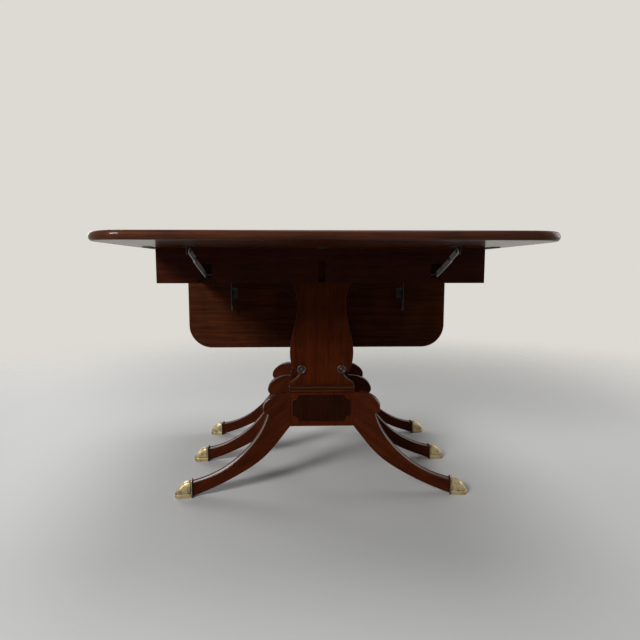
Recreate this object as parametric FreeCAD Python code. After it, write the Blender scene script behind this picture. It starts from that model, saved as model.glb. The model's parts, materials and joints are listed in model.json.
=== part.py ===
"""Drop-leaf dining table on three pedestals, with a bed that draws out from the middle.

Millimetres, +Z up. X runs along the hinge lines, the front (-Y) leaf is raised on its
folding stays and the rear (+Y) leaf hangs. Sizes are worked out with Y = 0 on the middle
pedestal, and every piece is moved at the end so that the origin lies on the floor under
the middle of the whole object.
"""
import FreeCAD
import Part
import math
import os

Vector = FreeCAD.Vector

# Top and leaves
TOP_WIDTH = 1016.0          # along the hinge lines
HINGE_SPACING = 552.0       # front hinge axis to rear hinge axis
LEAF_REACH = 375.0          # hinge axis to the outer edge of a leaf
TOP_HEIGHT = 741.0
TOP_THICKNESS = 20.0
NOSING_DEPTH = 8.0          # elliptical rounding of the top's edge
CORNER_RADIUS = 90.0        # leaf corners in plan
SPLIT_GAP = 0.4             # between the two halves of the bed
RULE_FILLET = 4.5           # square step above the rule joint's round
RULE_RADIUS = 11.5
RULE_GAP = 0.4

# Aprons under the bed
APRON_SIDE_INSET = 39.0     # top's end to the apron's end
APRON_HINGE_INSET = 29.0    # hinge axis to the apron's face
APRON_THICKNESS = 22.0
APRON_HEIGHT = 99.0
CORNER_BLOCK_LEG = 50.0
CORNER_BLOCK_RISE = 11.0    # lower end above the apron's lower edge
CENTRE_SLOT_WIDTH = 19.0
CENTRE_SLOT_HEIGHT = 60.0
CENTRE_SLOT_SILL = 3.0      # above the apron's lower edge

# Folding stays and the slots that they hang in
SLOT_END_INSET = 141.5      # apron's end to the middle of a slot
SLOT_WIDTH = 29.0
SLOT_HEIGHT = 41.0
SLOT_SILL = 15.0            # above the apron's lower edge
SCOOP_WIDTH = 60.0          # hollow in the apron's lower lip
SCOOP_CLEARANCE = 3.0       # behind a stay that hangs
STAY_OFFSET = 1.0           # slot's middle to the upper link's near face
STAY_WIDTH = 16.0
STAY_THICKNESS = 2.6
STAY_GAP = 0.3              # between links side by side
STAY_PIN_DIAMETER = 5.0
STAY_PIN_INSET = 6.0        # behind the apron's face
STAY_PIN_RISE = 10.0        # above the slot's sill
STAY_PIN_SEAT = 8.0         # length of pin in the wood on each side
STAY_HEAD_DIAMETER = 9.0
STAY_HEAD_HEIGHT = 1.8
BRACKET_REACH = 157.0       # hinge axis to the bracket's pivot
BRACKET_DROP = 15.0         # underside to the bracket's pivot
BRACKET_WIDTH = 24.0
BRACKET_LENGTH = 42.0
BRACKET_SCREW_EDGE = 7.0    # plate's end to a screw's middle

# Hinges
HINGE_END_INSET = 41.0      # top's end to the middle of an outer hinge
HINGE_WIDTH = 22.0
HINGE_PIN_DIAMETER = 5.0
PIN_CLEARANCE = 0.05        # running fit, on the radius
KNUCKLE_RADIUS = 5.0
KNUCKLE_GAP = 0.2
PLATE_THICKNESS = 2.0
PLATE_TAB = 8.0             # length of the tabs that carry the knuckles
BED_PLATE_REACH = 26.0
LEAF_PLATE_REACH = 55.0
HINGE_GROOVE_CLEARANCE = 0.6

# Screws
SCREW_DIAMETER = 4.0
SCREW_HEAD_DIAMETER = 7.0
SCREW_HEAD_HEIGHT = 1.6
SCREW_LENGTH = 14.0
SCREW_FIT = 0.05
SCREW_EDGE = 5.5            # from a plate's side to a screw's middle

# Pedestals
PEDESTAL_DEPTH = 38.0       # thickness of a shaped slab
SLAB_NOTCH_WIDTH = 131.0
SLAB_SCROLL_WIDTH = 181.0
SLAB_BELLY_WIDTH = 188.0
SLAB_NECK_WIDTH = 145.0
SLAB_FLARE_WIDTH = 192.0
SLAB_HEAD_WIDTH = 140.0
SLAB_FOOT_RISE = 3.5        # heights above the slab's foot
SLAB_HOLLOW_RISE = 30.0
SLAB_NOTCH_RISE = 37.0
SLAB_SCROLL_RISE = 66.0
SLAB_BELLY_RISE = 98.0
SLAB_NECK_SHARE = 0.54      # of the way from the belly up to the flare
CENTRE_NECK_SHARE = 0.38
SLAB_HOLLOW_DEPTH = 3.0     # of the curve between the foot and the notch
SLAB_SHOULDER = 12.0        # flare's top above the apron's lower edge
ROSETTE_SPACING = 118.0
ROSETTE_RISE = 48.0
ROSETTE_DIAMETER = 28.0
ROSETTE_HEIGHT = 5.0
ROSETTE_BEAD = 3.0          # half-width of the raised ring
ROSETTE_FIELD = 2.5         # thickness beside the ring
ROSETTE_BUTTON = 4.5        # thickness in the middle
SLAB_TENON_WIDTH = 120.0
SLAB_TENON_THICKNESS = 14.0
SLAB_TENON_DEPTH = 42.0
HEAD_BLOCK_WIDTH = 120.0
HEAD_BLOCK_DEPTH = 50.0
HEAD_BLOCK_HEIGHT = 40.0
GLUE_GAP = 0.1              # round a tenon or an inlaid panel

# Block, reeded band and inlaid panels
BLOCK_WIDTH = 194.0
BLOCK_DEPTH = 66.0
BLOCK_BOTTOM = 198.0
BLOCK_HEIGHT = 111.0
BAND_HEIGHT = 10.0
BAND_OVERHANG = 0.5         # crest of a reed beyond the block's face
BAND_REEDS = 3
REED_CHAMFER = 1.0
PANEL_SIDE_MARGIN = 10.0    # block's side to the panel's side
PANEL_RAIL_MARGIN = 14.0    # block's top or bottom to the panel
PANEL_CORNER = 18.0         # radius of the hollow corners
PANEL_THICKNESS = 2.0
PANEL_SINK = 1.0            # panel's face below the block's face

# Sabre legs, measured out from the pedestal's upright axis
LEG_THICKNESS = 34.0        # at the block
ANKLE_THICKNESS = 25.0
LEG_SPLAY = 9.0             # degrees, end pedestals only
LEG_TENON_THICKNESS = 12.0
LEG_TENON_HEIGHT = 60.0
LEG_TENON_DEPTH = 16.0
KNEE_BELOW_BLOCK = 9.0      # block's top to the knee's top
KNEE_FLAT = 8.0             # level part of the knee beside the block
KNEE_OUT = 80.0             # block's side to the knee's outermost point
KNEE_DROP = 48.0            # knee's top to its outermost point
TUCK_DEPTH = 15.0           # the knee's hook over the leg below it
TUCK_DROP = 16.0
ANKLE_REACH = 383.0
ANKLE_TOP = 45.0
ANKLE_BOTTOM = 4.0

# Points of the sabre curves, as shares of their run and of their fall to the ankle
SABRE_UPPER = ((0.055, 0.178), (0.294, 0.560), (0.633, 0.853))
SABRE_LOWER = ((0.095, 0.175), (0.265, 0.454), (0.530, 0.711), (0.802, 0.897))

# Brass toe caps
CAP_LENGTH = 52.0
CAP_WIDTH = 28.0
CAP_HEIGHT = 47.0
SOLE_HEIGHT = 13.0
SOLE_LIP = 1.0              # sole's edge beyond the upper part's sides
TOE_LIP = 2.0               # sole's tip beyond the upper part's tip
COLLAR_WIDTH = 6.0
COLLAR_LIP = 1.5
SOCKET_DEPTH = 30.0
SOCKET_WALL = 4.0
TOE_TENON_HEIGHT = 16.0

# Points of a cap's nose, as shares of its run and of its fall to the sole
CAP_FALL = ((0.256, 0.021), (0.444, 0.131), (0.622, 0.304), (0.844, 0.622))

# Slides that let the bed draw out
SLIDE_SIDE_GAP = 11.6       # slab's head to an inner runner
RAIL_WIDTH = 24.0
RAIL_HEIGHT = 37.5
RAIL_TOP_GAP = 0.5          # below the bed
RAIL_END_GAP = 7.0          # to the apron's inner face
RUNNER_WIDTH = 24.0
RUNNER_LIFT = 2.0           # runner's underside above the rail's underside
SLIDE_GAP = 0.4
TONGUE_HEIGHT = 10.0
TONGUE_DEPTH = 6.0
BEARER_LEDGE = 1.0          # bearer's end beyond a rail
BEARER_DEPTH = 60.0
BEARER_HEIGHT = 86.0

CUT_MARGIN = 1.0            # a cut runs this far past the face that it starts from

# Places that follow from the sizes above
UNDERSIDE = TOP_HEIGHT - TOP_THICKNESS
HINGE_Z = TOP_HEIGHT - RULE_FILLET - RULE_RADIUS
HINGE_Y = -HINGE_SPACING / 2
HALF_WIDTH = TOP_WIDTH / 2
APRON_FACE = HINGE_Y + APRON_HINGE_INSET
APRON_BACK = APRON_FACE + APRON_THICKNESS
APRON_END = HALF_WIDTH - APRON_SIDE_INSET
APRON_BOTTOM = UNDERSIDE - APRON_HEIGHT
HINGE_X = HALF_WIDTH - HINGE_END_INSET
SLOT_X = APRON_END - SLOT_END_INSET
SPLIT_Y = -SPLIT_GAP / 2
PLATE_BOTTOM = UNDERSIDE - PLATE_THICKNESS
PEDESTAL_Y = APRON_BACK + PEDESTAL_DEPTH / 2
BLOCK_TOP = BLOCK_BOTTOM + BLOCK_HEIGHT
SLAB_BOTTOM = BLOCK_TOP + BAND_HEIGHT
KNEE_TOP = BLOCK_TOP - KNEE_BELOW_BLOCK
RAIL_X = SLAB_HEAD_WIDTH / 2 + SLIDE_SIDE_GAP + RUNNER_WIDTH + SLIDE_GAP + RAIL_WIDTH / 2
RAIL_TOP = UNDERSIDE - RAIL_TOP_GAP
RAIL_BOTTOM = RAIL_TOP - RAIL_HEIGHT
RAIL_END = -APRON_BACK - RAIL_END_GAP
BEARER_BOTTOM = RAIL_BOTTOM - BEARER_HEIGHT
BEARER_WIDTH = 2 * (RAIL_X + RAIL_WIDTH / 2 + BEARER_LEDGE)
STAY_NEAR = SLOT_X + STAY_OFFSET
STAY_PITCH = STAY_THICKNESS + STAY_GAP
BRACKET_EAR = STAY_NEAR + 2 * STAY_PITCH
BRACKET_SIDE = BRACKET_EAR + STAY_THICKNESS

# A stay's pivots, as distance out from the hinge axis and height
PIVOT_OUT = -(APRON_HINGE_INSET + STAY_PIN_INSET)
PIVOT_Z = APRON_BOTTOM + SLOT_SILL + STAY_PIN_RISE
PIVOT_DROP = PIVOT_Z - HINGE_Z
BRACKET_Z = UNDERSIDE - BRACKET_DROP
BRACKET_BELOW = BRACKET_Z - HINGE_Z
STAY_LENGTH = math.hypot(BRACKET_REACH - PIVOT_OUT, BRACKET_BELOW - PIVOT_DROP)
STAY_ANGLE = math.atan2(BRACKET_BELOW - PIVOT_DROP, BRACKET_REACH - PIVOT_OUT)

# With the leaf down, the lower link hangs plumb and the upper link meets its end
HUNG_SIDE = BRACKET_BELOW - PIVOT_OUT
HUNG_FALL = PIVOT_DROP + BRACKET_REACH
STAY_LOWER = (STAY_LENGTH**2 - HUNG_SIDE**2 - HUNG_FALL**2) / (2 * (STAY_LENGTH - HUNG_FALL))
STAY_UPPER = STAY_LENGTH - STAY_LOWER
HUNG_UPPER_ANGLE = math.atan2(HUNG_FALL - STAY_LOWER, -HUNG_SIDE)
LOWER_SWING = STAY_ANGLE + math.pi / 2
UPPER_SWING = HUNG_UPPER_ANGLE + math.pi - STAY_ANGLE
UPPER_SWING_ON_LEAF = UPPER_SWING + math.pi / 2

# The whole object's middle, which becomes Y = 0
FRONT_EDGE = HINGE_Y - LEAF_REACH
REAR_FACE = -HINGE_Y + RULE_RADIUS + RULE_FILLET
TOE_OUT = ANKLE_REACH + CAP_LENGTH - CAP_WIDTH / 2
REAR_TOE = -PEDESTAL_Y + TOE_OUT * math.sin(math.radians(LEG_SPLAY)) + CAP_WIDTH / 2
ORIGIN_SHIFT = -(FRONT_EDGE + max(REAR_FACE, REAR_TOE)) / 2

UP = Vector(0, 0, 1)
ALONG_X = Vector(1, 0, 0)
ALONG_Y = Vector(0, 1, 0)
ORIGIN = Vector(0, 0, 0)


# Shape helpers

def box(x0, x1, y0, y1, z0, z1):
    """A box between two opposite corners."""
    return Part.makeBox(x1 - x0, y1 - y0, z1 - z0, Vector(x0, y0, z0))


def mirrored_box(side, x0, x1, y0, y1, z0, z1):
    """A box given for the right (+X) side, put on the side asked for."""
    if side > 0:
        return box(x0, x1, y0, y1, z0, z1)
    return box(-x1, -x0, y0, y1, z0, z1)


def rod(x0, x1, y, z, diameter):
    """A cylinder along X."""
    return Part.makeCylinder(diameter / 2, x1 - x0, Vector(x0, y, z), ALONG_X)


def line(a, b):
    return Part.LineSegment(a, b).toShape()


def arc(a, middle, b):
    return Part.Arc(a, middle, b).toShape()


def spline(points):
    curve = Part.BSplineCurve()
    curve.interpolate(points)
    return curve.toShape()


def quarter_ellipse(centre, first, second):
    """Quarter of an ellipse between the ends of its two half-axes."""
    major, minor = sorted((first, second), key=centre.distanceToPoint, reverse=True)
    return Part.ArcOfEllipse(Part.Ellipse(major, minor, centre), 0, math.pi / 2).toShape()


def between(start, end, shares):
    """Points from start to end, given by their shares of the run and of the fall."""
    run = end.x - start.x
    fall = end.z - start.z
    inner = [Vector(start.x + a * run, start.y, start.z + b * fall) for a, b in shares]
    return [start] + inner + [end]


def polygon(points):
    return [line(a, b) for a, b in zip(points, points[1:] + points[:1])]


def flat(edges):
    """The face inside a closed outline."""
    return Part.Face(Part.Wire(Part.__sortEdges__(edges)))


def prism(edges, direction):
    """The solid swept by a closed flat outline."""
    return flat(edges).extrude(direction)


def mirror_x(shape):
    return shape.mirror(ORIGIN, ALONG_X)


def group(shapes):
    return Part.makeCompound(shapes)


def fused(shapes):
    return shapes[0].multiFuse(shapes[1:]).removeSplitter()


def turned(shape, centre, axis, degrees):
    copy = shape.copy()
    copy.rotate(centre, axis, degrees)
    return copy


def hinge_turn(shape, degrees):
    """Turn a piece of the front leaf about its hinge axis, down being positive."""
    return turned(shape, Vector(0, HINGE_Y, HINGE_Z), ALONG_X, degrees)


def to_rear(shape):
    """Carry a front piece round to the rear half."""
    return turned(shape, ORIGIN, UP, 180)


# Top: bed halves, leaves and the rule joint between them

def nosing(edge, sign, make):
    """Half-ellipse at an edge of the top, from the underside to the upper face."""
    middle = UNDERSIDE + TOP_THICKNESS / 2
    inner = edge - sign * NOSING_DEPTH
    centre = make(inner, middle)
    crown = make(edge, middle)
    lower = quarter_ellipse(centre, make(inner, UNDERSIDE), crown)
    upper = quarter_ellipse(centre, crown, make(inner, TOP_HEIGHT))
    return [lower, upper]


def end_section():
    """The top seen along Y, with a nosing at both ends."""
    def make(x, z):
        return Vector(x, 0, z)
    inner = HALF_WIDTH - NOSING_DEPTH
    return [
        line(make(-inner, UNDERSIDE), make(inner, UNDERSIDE)),
        *nosing(HALF_WIDTH, 1, make),
        line(make(inner, TOP_HEIGHT), make(-inner, TOP_HEIGHT)),
        *nosing(-HALF_WIDTH, -1, make),
    ]


def nosed_ends(solid, y0, y1):
    """Round the two ends of a board that was swept along X."""
    sweep = prism(end_section(), Vector(0, y1 - y0, 0))
    sweep.translate(Vector(0, y0, 0))
    return solid.common(sweep)


def bed_top():
    """Front half of the bed, with the rule joint's round and the hinge grooves."""
    def make(y, z):
        return Vector(-HALF_WIDTH, y, z)
    slope = RULE_RADIUS * math.sqrt(0.5)
    toe = make(HINGE_Y - math.sqrt(RULE_RADIUS**2 - (HINGE_Z - UNDERSIDE) ** 2), UNDERSIDE)
    edges = [
        line(make(SPLIT_Y, UNDERSIDE), make(SPLIT_Y, TOP_HEIGHT)),
        line(make(SPLIT_Y, TOP_HEIGHT), make(HINGE_Y, TOP_HEIGHT)),
        line(make(HINGE_Y, TOP_HEIGHT), make(HINGE_Y, HINGE_Z + RULE_RADIUS)),
        arc(make(HINGE_Y, HINGE_Z + RULE_RADIUS), make(HINGE_Y - slope, HINGE_Z + slope), toe),
        line(toe, make(SPLIT_Y, UNDERSIDE)),
    ]
    board = nosed_ends(prism(edges, Vector(TOP_WIDTH, 0, 0)), HINGE_Y - RULE_RADIUS, SPLIT_Y)
    grooves = [hinge_groove(x) for x in hinge_places()]
    return board.cut(group(grooves + [screw_hole(*place) for place in bed_screw_places()]))


def leaf_board():
    """Front leaf, raised, with the rule joint's hollow and rounded outer corners."""
    def make(y, z):
        return Vector(-HALF_WIDTH, y, z)
    hollow = RULE_RADIUS + RULE_GAP
    slope = hollow * math.sqrt(0.5)
    inner = HINGE_Y - RULE_GAP
    step = HINGE_Z + math.sqrt(hollow**2 - RULE_GAP**2)
    lip = FRONT_EDGE + NOSING_DEPTH
    edges = [
        line(make(lip, TOP_HEIGHT), make(inner, TOP_HEIGHT)),
        line(make(inner, TOP_HEIGHT), make(inner, step)),
        arc(make(inner, step), make(HINGE_Y - slope, HINGE_Z + slope), make(HINGE_Y - hollow, HINGE_Z)),
        line(make(HINGE_Y - hollow, HINGE_Z), make(HINGE_Y - hollow, UNDERSIDE)),
        line(make(HINGE_Y - hollow, UNDERSIDE), make(lip, UNDERSIDE)),
        *nosing(FRONT_EDGE, -1, make),
    ]
    board = nosed_ends(prism(edges, Vector(TOP_WIDTH, 0, 0)), FRONT_EDGE, inner)
    corner = rounded_corner()
    square = box(HALF_WIDTH - CORNER_RADIUS, HALF_WIDTH + CUT_MARGIN, FRONT_EDGE - CUT_MARGIN,
                 FRONT_EDGE + CORNER_RADIUS, UNDERSIDE - CUT_MARGIN, TOP_HEIGHT + CUT_MARGIN)
    board = board.cut(group([square, mirror_x(square)]))
    board = fused([board, corner, mirror_x(corner)])
    return board.cut(group([screw_hole(*place) for place in leaf_screw_places()]))


def rounded_corner():
    """Quarter disc with the nosing round its rim, at the right front corner."""
    centre_x = HALF_WIDTH - CORNER_RADIUS
    centre_y = FRONT_EDGE + CORNER_RADIUS

    def make(x, z):
        return Vector(x, centre_y, z)
    rim = HALF_WIDTH - NOSING_DEPTH
    edges = [
        line(make(centre_x, UNDERSIDE), make(rim, UNDERSIDE)),
        *nosing(HALF_WIDTH, 1, make),
        line(make(rim, TOP_HEIGHT), make(centre_x, TOP_HEIGHT)),
        line(make(centre_x, TOP_HEIGHT), make(centre_x, UNDERSIDE)),
    ]
    return flat(edges).revolve(Vector(centre_x, centre_y, 0), UP, -90)


# Screws and hinges

def screw(x, y):
    """Countersunk wood screw driven upward through a plate under the top."""
    head = Part.makeCone(SCREW_HEAD_DIAMETER / 2, SCREW_DIAMETER / 2, SCREW_HEAD_HEIGHT,
                         Vector(x, y, PLATE_BOTTOM))
    shank = Part.makeCylinder(SCREW_DIAMETER / 2, SCREW_LENGTH - SCREW_HEAD_HEIGHT,
                              Vector(x, y, PLATE_BOTTOM + SCREW_HEAD_HEIGHT))
    return head.fuse(shank)


def screw_hole(x, y):
    """Room for a screw, in the plate and in the wood above it."""
    head = Part.makeCone(SCREW_HEAD_DIAMETER / 2 + SCREW_FIT, SCREW_DIAMETER / 2 + SCREW_FIT,
                         SCREW_HEAD_HEIGHT, Vector(x, y, PLATE_BOTTOM))
    shank = Part.makeCylinder(SCREW_DIAMETER / 2 + SCREW_FIT, SCREW_LENGTH - SCREW_HEAD_HEIGHT,
                              Vector(x, y, PLATE_BOTTOM + SCREW_HEAD_HEIGHT))
    return head.fuse(shank)


def hinge_places():
    return [-HINGE_X, 0.0, HINGE_X]


def bed_screw_places():
    """Two screws side by side in each fixed hinge plate."""
    y = HINGE_Y + (PLATE_TAB + BED_PLATE_REACH) / 2
    step = HINGE_WIDTH / 2 - SCREW_EDGE
    return [(x + side * step, y) for x in hinge_places() for side in (-1, 1)]


def hinge_leaf_screw_places():
    """Three screws in a zigzag in each moving hinge plate."""
    first = PLATE_TAB + SCREW_EDGE
    pitch = (LEAF_PLATE_REACH - SCREW_EDGE - first) / 2
    step = HINGE_WIDTH / 2 - SCREW_EDGE
    places = []
    for x in hinge_places():
        for index, side in enumerate((-1, 1, -1)):
            places.append((x + side * step, HINGE_Y - first - index * pitch))
    return places


def bracket_screw_places():
    """One screw at each end of a stay bracket's plate."""
    y = HINGE_Y - BRACKET_REACH
    x = BRACKET_SIDE - BRACKET_WIDTH / 2
    half = BRACKET_LENGTH / 2 - BRACKET_SCREW_EDGE
    return [(side * x, y + step) for side in (-1, 1) for step in (-half, half)]


def leaf_screw_places():
    return hinge_leaf_screw_places() + bracket_screw_places()


def knuckle_spans():
    """Start and end of the fixed, moving and fixed knuckles along a hinge."""
    third = HINGE_WIDTH / 3
    half = HINGE_WIDTH / 2
    ease = KNUCKLE_GAP / 2
    return [(-half, -half + third - ease), (-half + third + ease, half - third - ease),
            (half - third + ease, half)]


def hinge_plate(x, spans, sign, reach, places):
    """A plate with its knuckles; sign +1 lies under the bed, -1 under the leaf."""
    near, far = sorted((HINGE_Y + sign * PLATE_TAB, HINGE_Y + sign * reach))
    pieces = [box(x - HINGE_WIDTH / 2, x + HINGE_WIDTH / 2, near, far, PLATE_BOTTOM, UNDERSIDE)]
    low, high = sorted((HINGE_Y, HINGE_Y + sign * PLATE_TAB))
    for span in spans:
        pieces.append(box(x + span[0], x + span[1], low, high, PLATE_BOTTOM, UNDERSIDE))
        pieces.append(rod(x + span[0], x + span[1], HINGE_Y, HINGE_Z, 2 * KNUCKLE_RADIUS))
    plate = fused(pieces)
    bore = rod(x - HINGE_WIDTH, x + HINGE_WIDTH, HINGE_Y, HINGE_Z,
               HINGE_PIN_DIAMETER + 2 * PIN_CLEARANCE)
    holes = [screw_hole(*place) for place in places if abs(place[0] - x) < HINGE_WIDTH / 2]
    return plate.cut(group([bore] + holes))


def bed_hinge_plates():
    fixed = knuckle_spans()[0::2]
    places = bed_screw_places()
    return group([hinge_plate(x, fixed, 1, BED_PLATE_REACH, places) for x in hinge_places()])


def leaf_hinge_plates():
    moving = knuckle_spans()[1:2]
    places = hinge_leaf_screw_places()
    return group([hinge_plate(x, moving, -1, LEAF_PLATE_REACH, places) for x in hinge_places()])


def hinge_groove(x):
    """Groove under the bed for the knuckles, with a shallow relief over the leaf's plate."""
    half = HINGE_WIDTH / 2 + HINGE_GROOVE_CLEARANCE
    out = KNUCKLE_RADIUS + HINGE_GROOVE_CLEARANCE
    back = HINGE_Z - PLATE_BOTTOM + HINGE_GROOVE_CLEARANCE
    low = UNDERSIDE - CUT_MARGIN
    deep = box(x - half, x + half, HINGE_Y - out, HINGE_Y + max(out, back), low, HINGE_Z + out)
    relief = box(x - half, x + half, HINGE_Y - RULE_RADIUS - CUT_MARGIN, HINGE_Y, low,
                 UNDERSIDE + HINGE_GROOVE_CLEARANCE)
    return deep.fuse(relief)


def hinge_pin(x):
    return rod(x - HINGE_WIDTH / 2, x + HINGE_WIDTH / 2, HINGE_Y, HINGE_Z, HINGE_PIN_DIAMETER)


# Aprons and their blocks

def end_apron():
    """Front apron board with the stay slots, their scooped lip and the middle slot."""
    board = box(-APRON_END, APRON_END, APRON_FACE, APRON_BACK, APRON_BOTTOM, UNDERSIDE)
    sill = APRON_BOTTOM + CENTRE_SLOT_SILL
    half = CENTRE_SLOT_WIDTH / 2
    front = APRON_FACE - CUT_MARGIN
    cuts = [box(-half, half, front, APRON_BACK + CUT_MARGIN, sill, sill + CENTRE_SLOT_HEIGHT)]
    for side in (-1, 1):
        cuts.append(stay_slot(side))
        cuts.append(stay_pin(side, PIN_CLEARANCE))
    return board.cut(group(cuts))


def stay_slot(side):
    """Slot through the apron, open at the lip, with a round hollow either side below it."""
    x0 = SLOT_X - SLOT_WIDTH / 2
    x1 = SLOT_X + SLOT_WIDTH / 2
    sill = APRON_BOTTOM + SLOT_SILL
    front = APRON_FACE - CUT_MARGIN
    lip_back = APRON_FACE + STAY_PIN_INSET + STAY_WIDTH / 2 + SCOOP_CLEARANCE
    opening = mirrored_box(side, x0, x1, front, APRON_BACK + CUT_MARGIN, sill, sill + SLOT_HEIGHT)
    lip = mirrored_box(side, x0, x1, front, lip_back, APRON_BOTTOM - CUT_MARGIN, sill + CUT_MARGIN)
    radius = ((SCOOP_WIDTH / 2) ** 2 + SLOT_SILL**2) / (2 * SLOT_SILL)
    centre = Vector(side * SLOT_X, front, sill - radius)
    scoop = Part.makeCylinder(radius, lip_back - front, centre, ALONG_Y)
    return fused([opening, lip, scoop])


def stay_pin(side, ease=0.0):
    """Pin across a slot; with an ease it is the hole for that pin."""
    reach = SLOT_WIDTH / 2 + STAY_PIN_SEAT
    return rod(side * SLOT_X - reach, side * SLOT_X + reach, HINGE_Y - PIVOT_OUT, PIVOT_Z,
               STAY_PIN_DIAMETER + 2 * ease)


def side_aprons():
    board = box(APRON_END - APRON_THICKNESS, APRON_END, APRON_BACK, SPLIT_Y, APRON_BOTTOM, UNDERSIDE)
    return group([mirror_x(board), board])


def corner_blocks():
    """Three-cornered glue blocks where the aprons meet."""
    x = APRON_END - APRON_THICKNESS
    z = APRON_BOTTOM + CORNER_BLOCK_RISE
    points = [Vector(x, APRON_BACK, z), Vector(x, APRON_BACK + CORNER_BLOCK_LEG, z),
              Vector(x - CORNER_BLOCK_LEG, APRON_BACK, z)]
    corner = prism(polygon(points), Vector(0, 0, UNDERSIDE - z))
    return group([mirror_x(corner), corner])


def head_block(y):
    """Glue block behind the top of an end pedestal's slab."""
    back = y + PEDESTAL_DEPTH / 2
    half = HEAD_BLOCK_WIDTH / 2
    return box(-half, half, back, back + HEAD_BLOCK_DEPTH, UNDERSIDE - HEAD_BLOCK_HEIGHT, UNDERSIDE)


# Pedestals

def slab_side(y, neck_share, flare_width, flare_z):
    """Right-hand outline of a shaped slab, from its foot up to its flared top."""
    def make(width, rise):
        return Vector(width / 2, y, SLAB_BOTTOM + rise)
    foot = make(BLOCK_WIDTH, SLAB_FOOT_RISE)
    hollow = make(SLAB_NOTCH_WIDTH, SLAB_HOLLOW_RISE)
    chord = hollow - foot
    inward = Vector(-chord.z, 0, chord.x).normalize() * SLAB_HOLLOW_DEPTH
    notch = make(SLAB_NOTCH_WIDTH, SLAB_NOTCH_RISE)
    scroll = make(SLAB_SCROLL_WIDTH, SLAB_SCROLL_RISE)
    belly = make(SLAB_BELLY_WIDTH, SLAB_BELLY_RISE)
    flare = Vector(flare_width / 2, y, flare_z)
    neck = Vector(SLAB_NECK_WIDTH / 2, y, belly.z + neck_share * (flare.z - belly.z))
    return [
        line(make(BLOCK_WIDTH, 0), foot),
        arc(foot, (foot + hollow) * 0.5 + inward, hollow),
        line(hollow, notch),
        quarter_ellipse(make(SLAB_NOTCH_WIDTH, SLAB_SCROLL_RISE), notch, scroll),
        spline([scroll, belly, neck, flare]),
    ]


def slab(y, neck_share, flare_width, flare_z):
    """Shaped slab with its tenon, cut off level at the top of its flare."""
    front = y - PEDESTAL_DEPTH / 2
    right = slab_side(front, neck_share, flare_width, flare_z)
    left = [mirror_x(edge) for edge in right]
    foot = BLOCK_WIDTH / 2
    flare = flare_width / 2
    ends = [
        line(Vector(-foot, front, SLAB_BOTTOM), Vector(foot, front, SLAB_BOTTOM)),
        line(Vector(-flare, front, flare_z), Vector(flare, front, flare_z)),
    ]
    body = prism(right + left + ends, Vector(0, PEDESTAL_DEPTH, 0))
    return fused([body, slab_tenon(y, 0.0)])


def slab_tenon(y, ease):
    """Tenon under a slab; with an ease it is the mortise for it."""
    half_x = SLAB_TENON_WIDTH / 2 + ease
    half_y = SLAB_TENON_THICKNESS / 2 + ease
    low = SLAB_BOTTOM - SLAB_TENON_DEPTH - ease
    return box(-half_x, half_x, y - half_y, y + half_y, low, SLAB_BOTTOM)


def end_slab(y):
    """End pedestal's slab: its head goes on up behind the apron to the bed."""
    flare_z = APRON_BOTTOM + SLAB_SHOULDER
    half = SLAB_HEAD_WIDTH / 2
    depth = PEDESTAL_DEPTH / 2
    head = box(-half, half, y - depth, y + depth, flare_z, UNDERSIDE)
    return fused([slab(y, SLAB_NECK_SHARE, SLAB_FLARE_WIDTH, flare_z), head])


def centre_slab():
    """Middle slab: a wider flare carries the bearer under the slides."""
    return slab(0.0, CENTRE_NECK_SHARE, BEARER_WIDTH, BEARER_BOTTOM)


def rosettes(y):
    """Turned rosettes on both faces of a slab: a raised ring round a small button."""
    ring = ROSETTE_DIAMETER / 2
    bead = ROSETTE_BEAD
    points = [(0.0, 0.0), (ring, 0.0), (ring, ROSETTE_FIELD), (ring - bead, ROSETTE_HEIGHT),
              (ring - 2 * bead, ROSETTE_FIELD), (ring - 3 * bead, ROSETTE_FIELD), (0.0, ROSETTE_BUTTON)]
    z = SLAB_BOTTOM + ROSETTE_RISE
    pieces = []
    for facing in (-1, 1):
        face = y + facing * PEDESTAL_DEPTH / 2
        for side in (-1, 1):
            x = side * ROSETTE_SPACING / 2
            outline = [Vector(x + r, face + facing * h, z) for r, h in points]
            pieces.append(flat(polygon(outline)).revolve(Vector(x, face, z), ALONG_Y, 360))
    return group(pieces)


def block_box(y, grow, low, high):
    """An upright box as wide and deep as the block, grown sideways."""
    half_x = BLOCK_WIDTH / 2 + grow
    half_y = BLOCK_DEPTH / 2 + grow
    return box(-half_x, half_x, y - half_y, y + half_y, low, high)


def reeded_band(y):
    """Band round the block's top, worked into reeds, with the slab's mortise."""
    reed = BAND_HEIGHT / BAND_REEDS
    pieces = []
    for index in range(BAND_REEDS):
        low = BLOCK_TOP + index * reed
        layer = block_box(y, BAND_OVERHANG, low, low + reed)
        rims = [edge for edge in layer.Edges if edge.BoundBox.ZLength < reed / 2]
        pieces.append(layer.makeChamfer(REED_CHAMFER, rims))
    return fused(pieces).cut(slab_tenon(y, GLUE_GAP))


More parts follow.
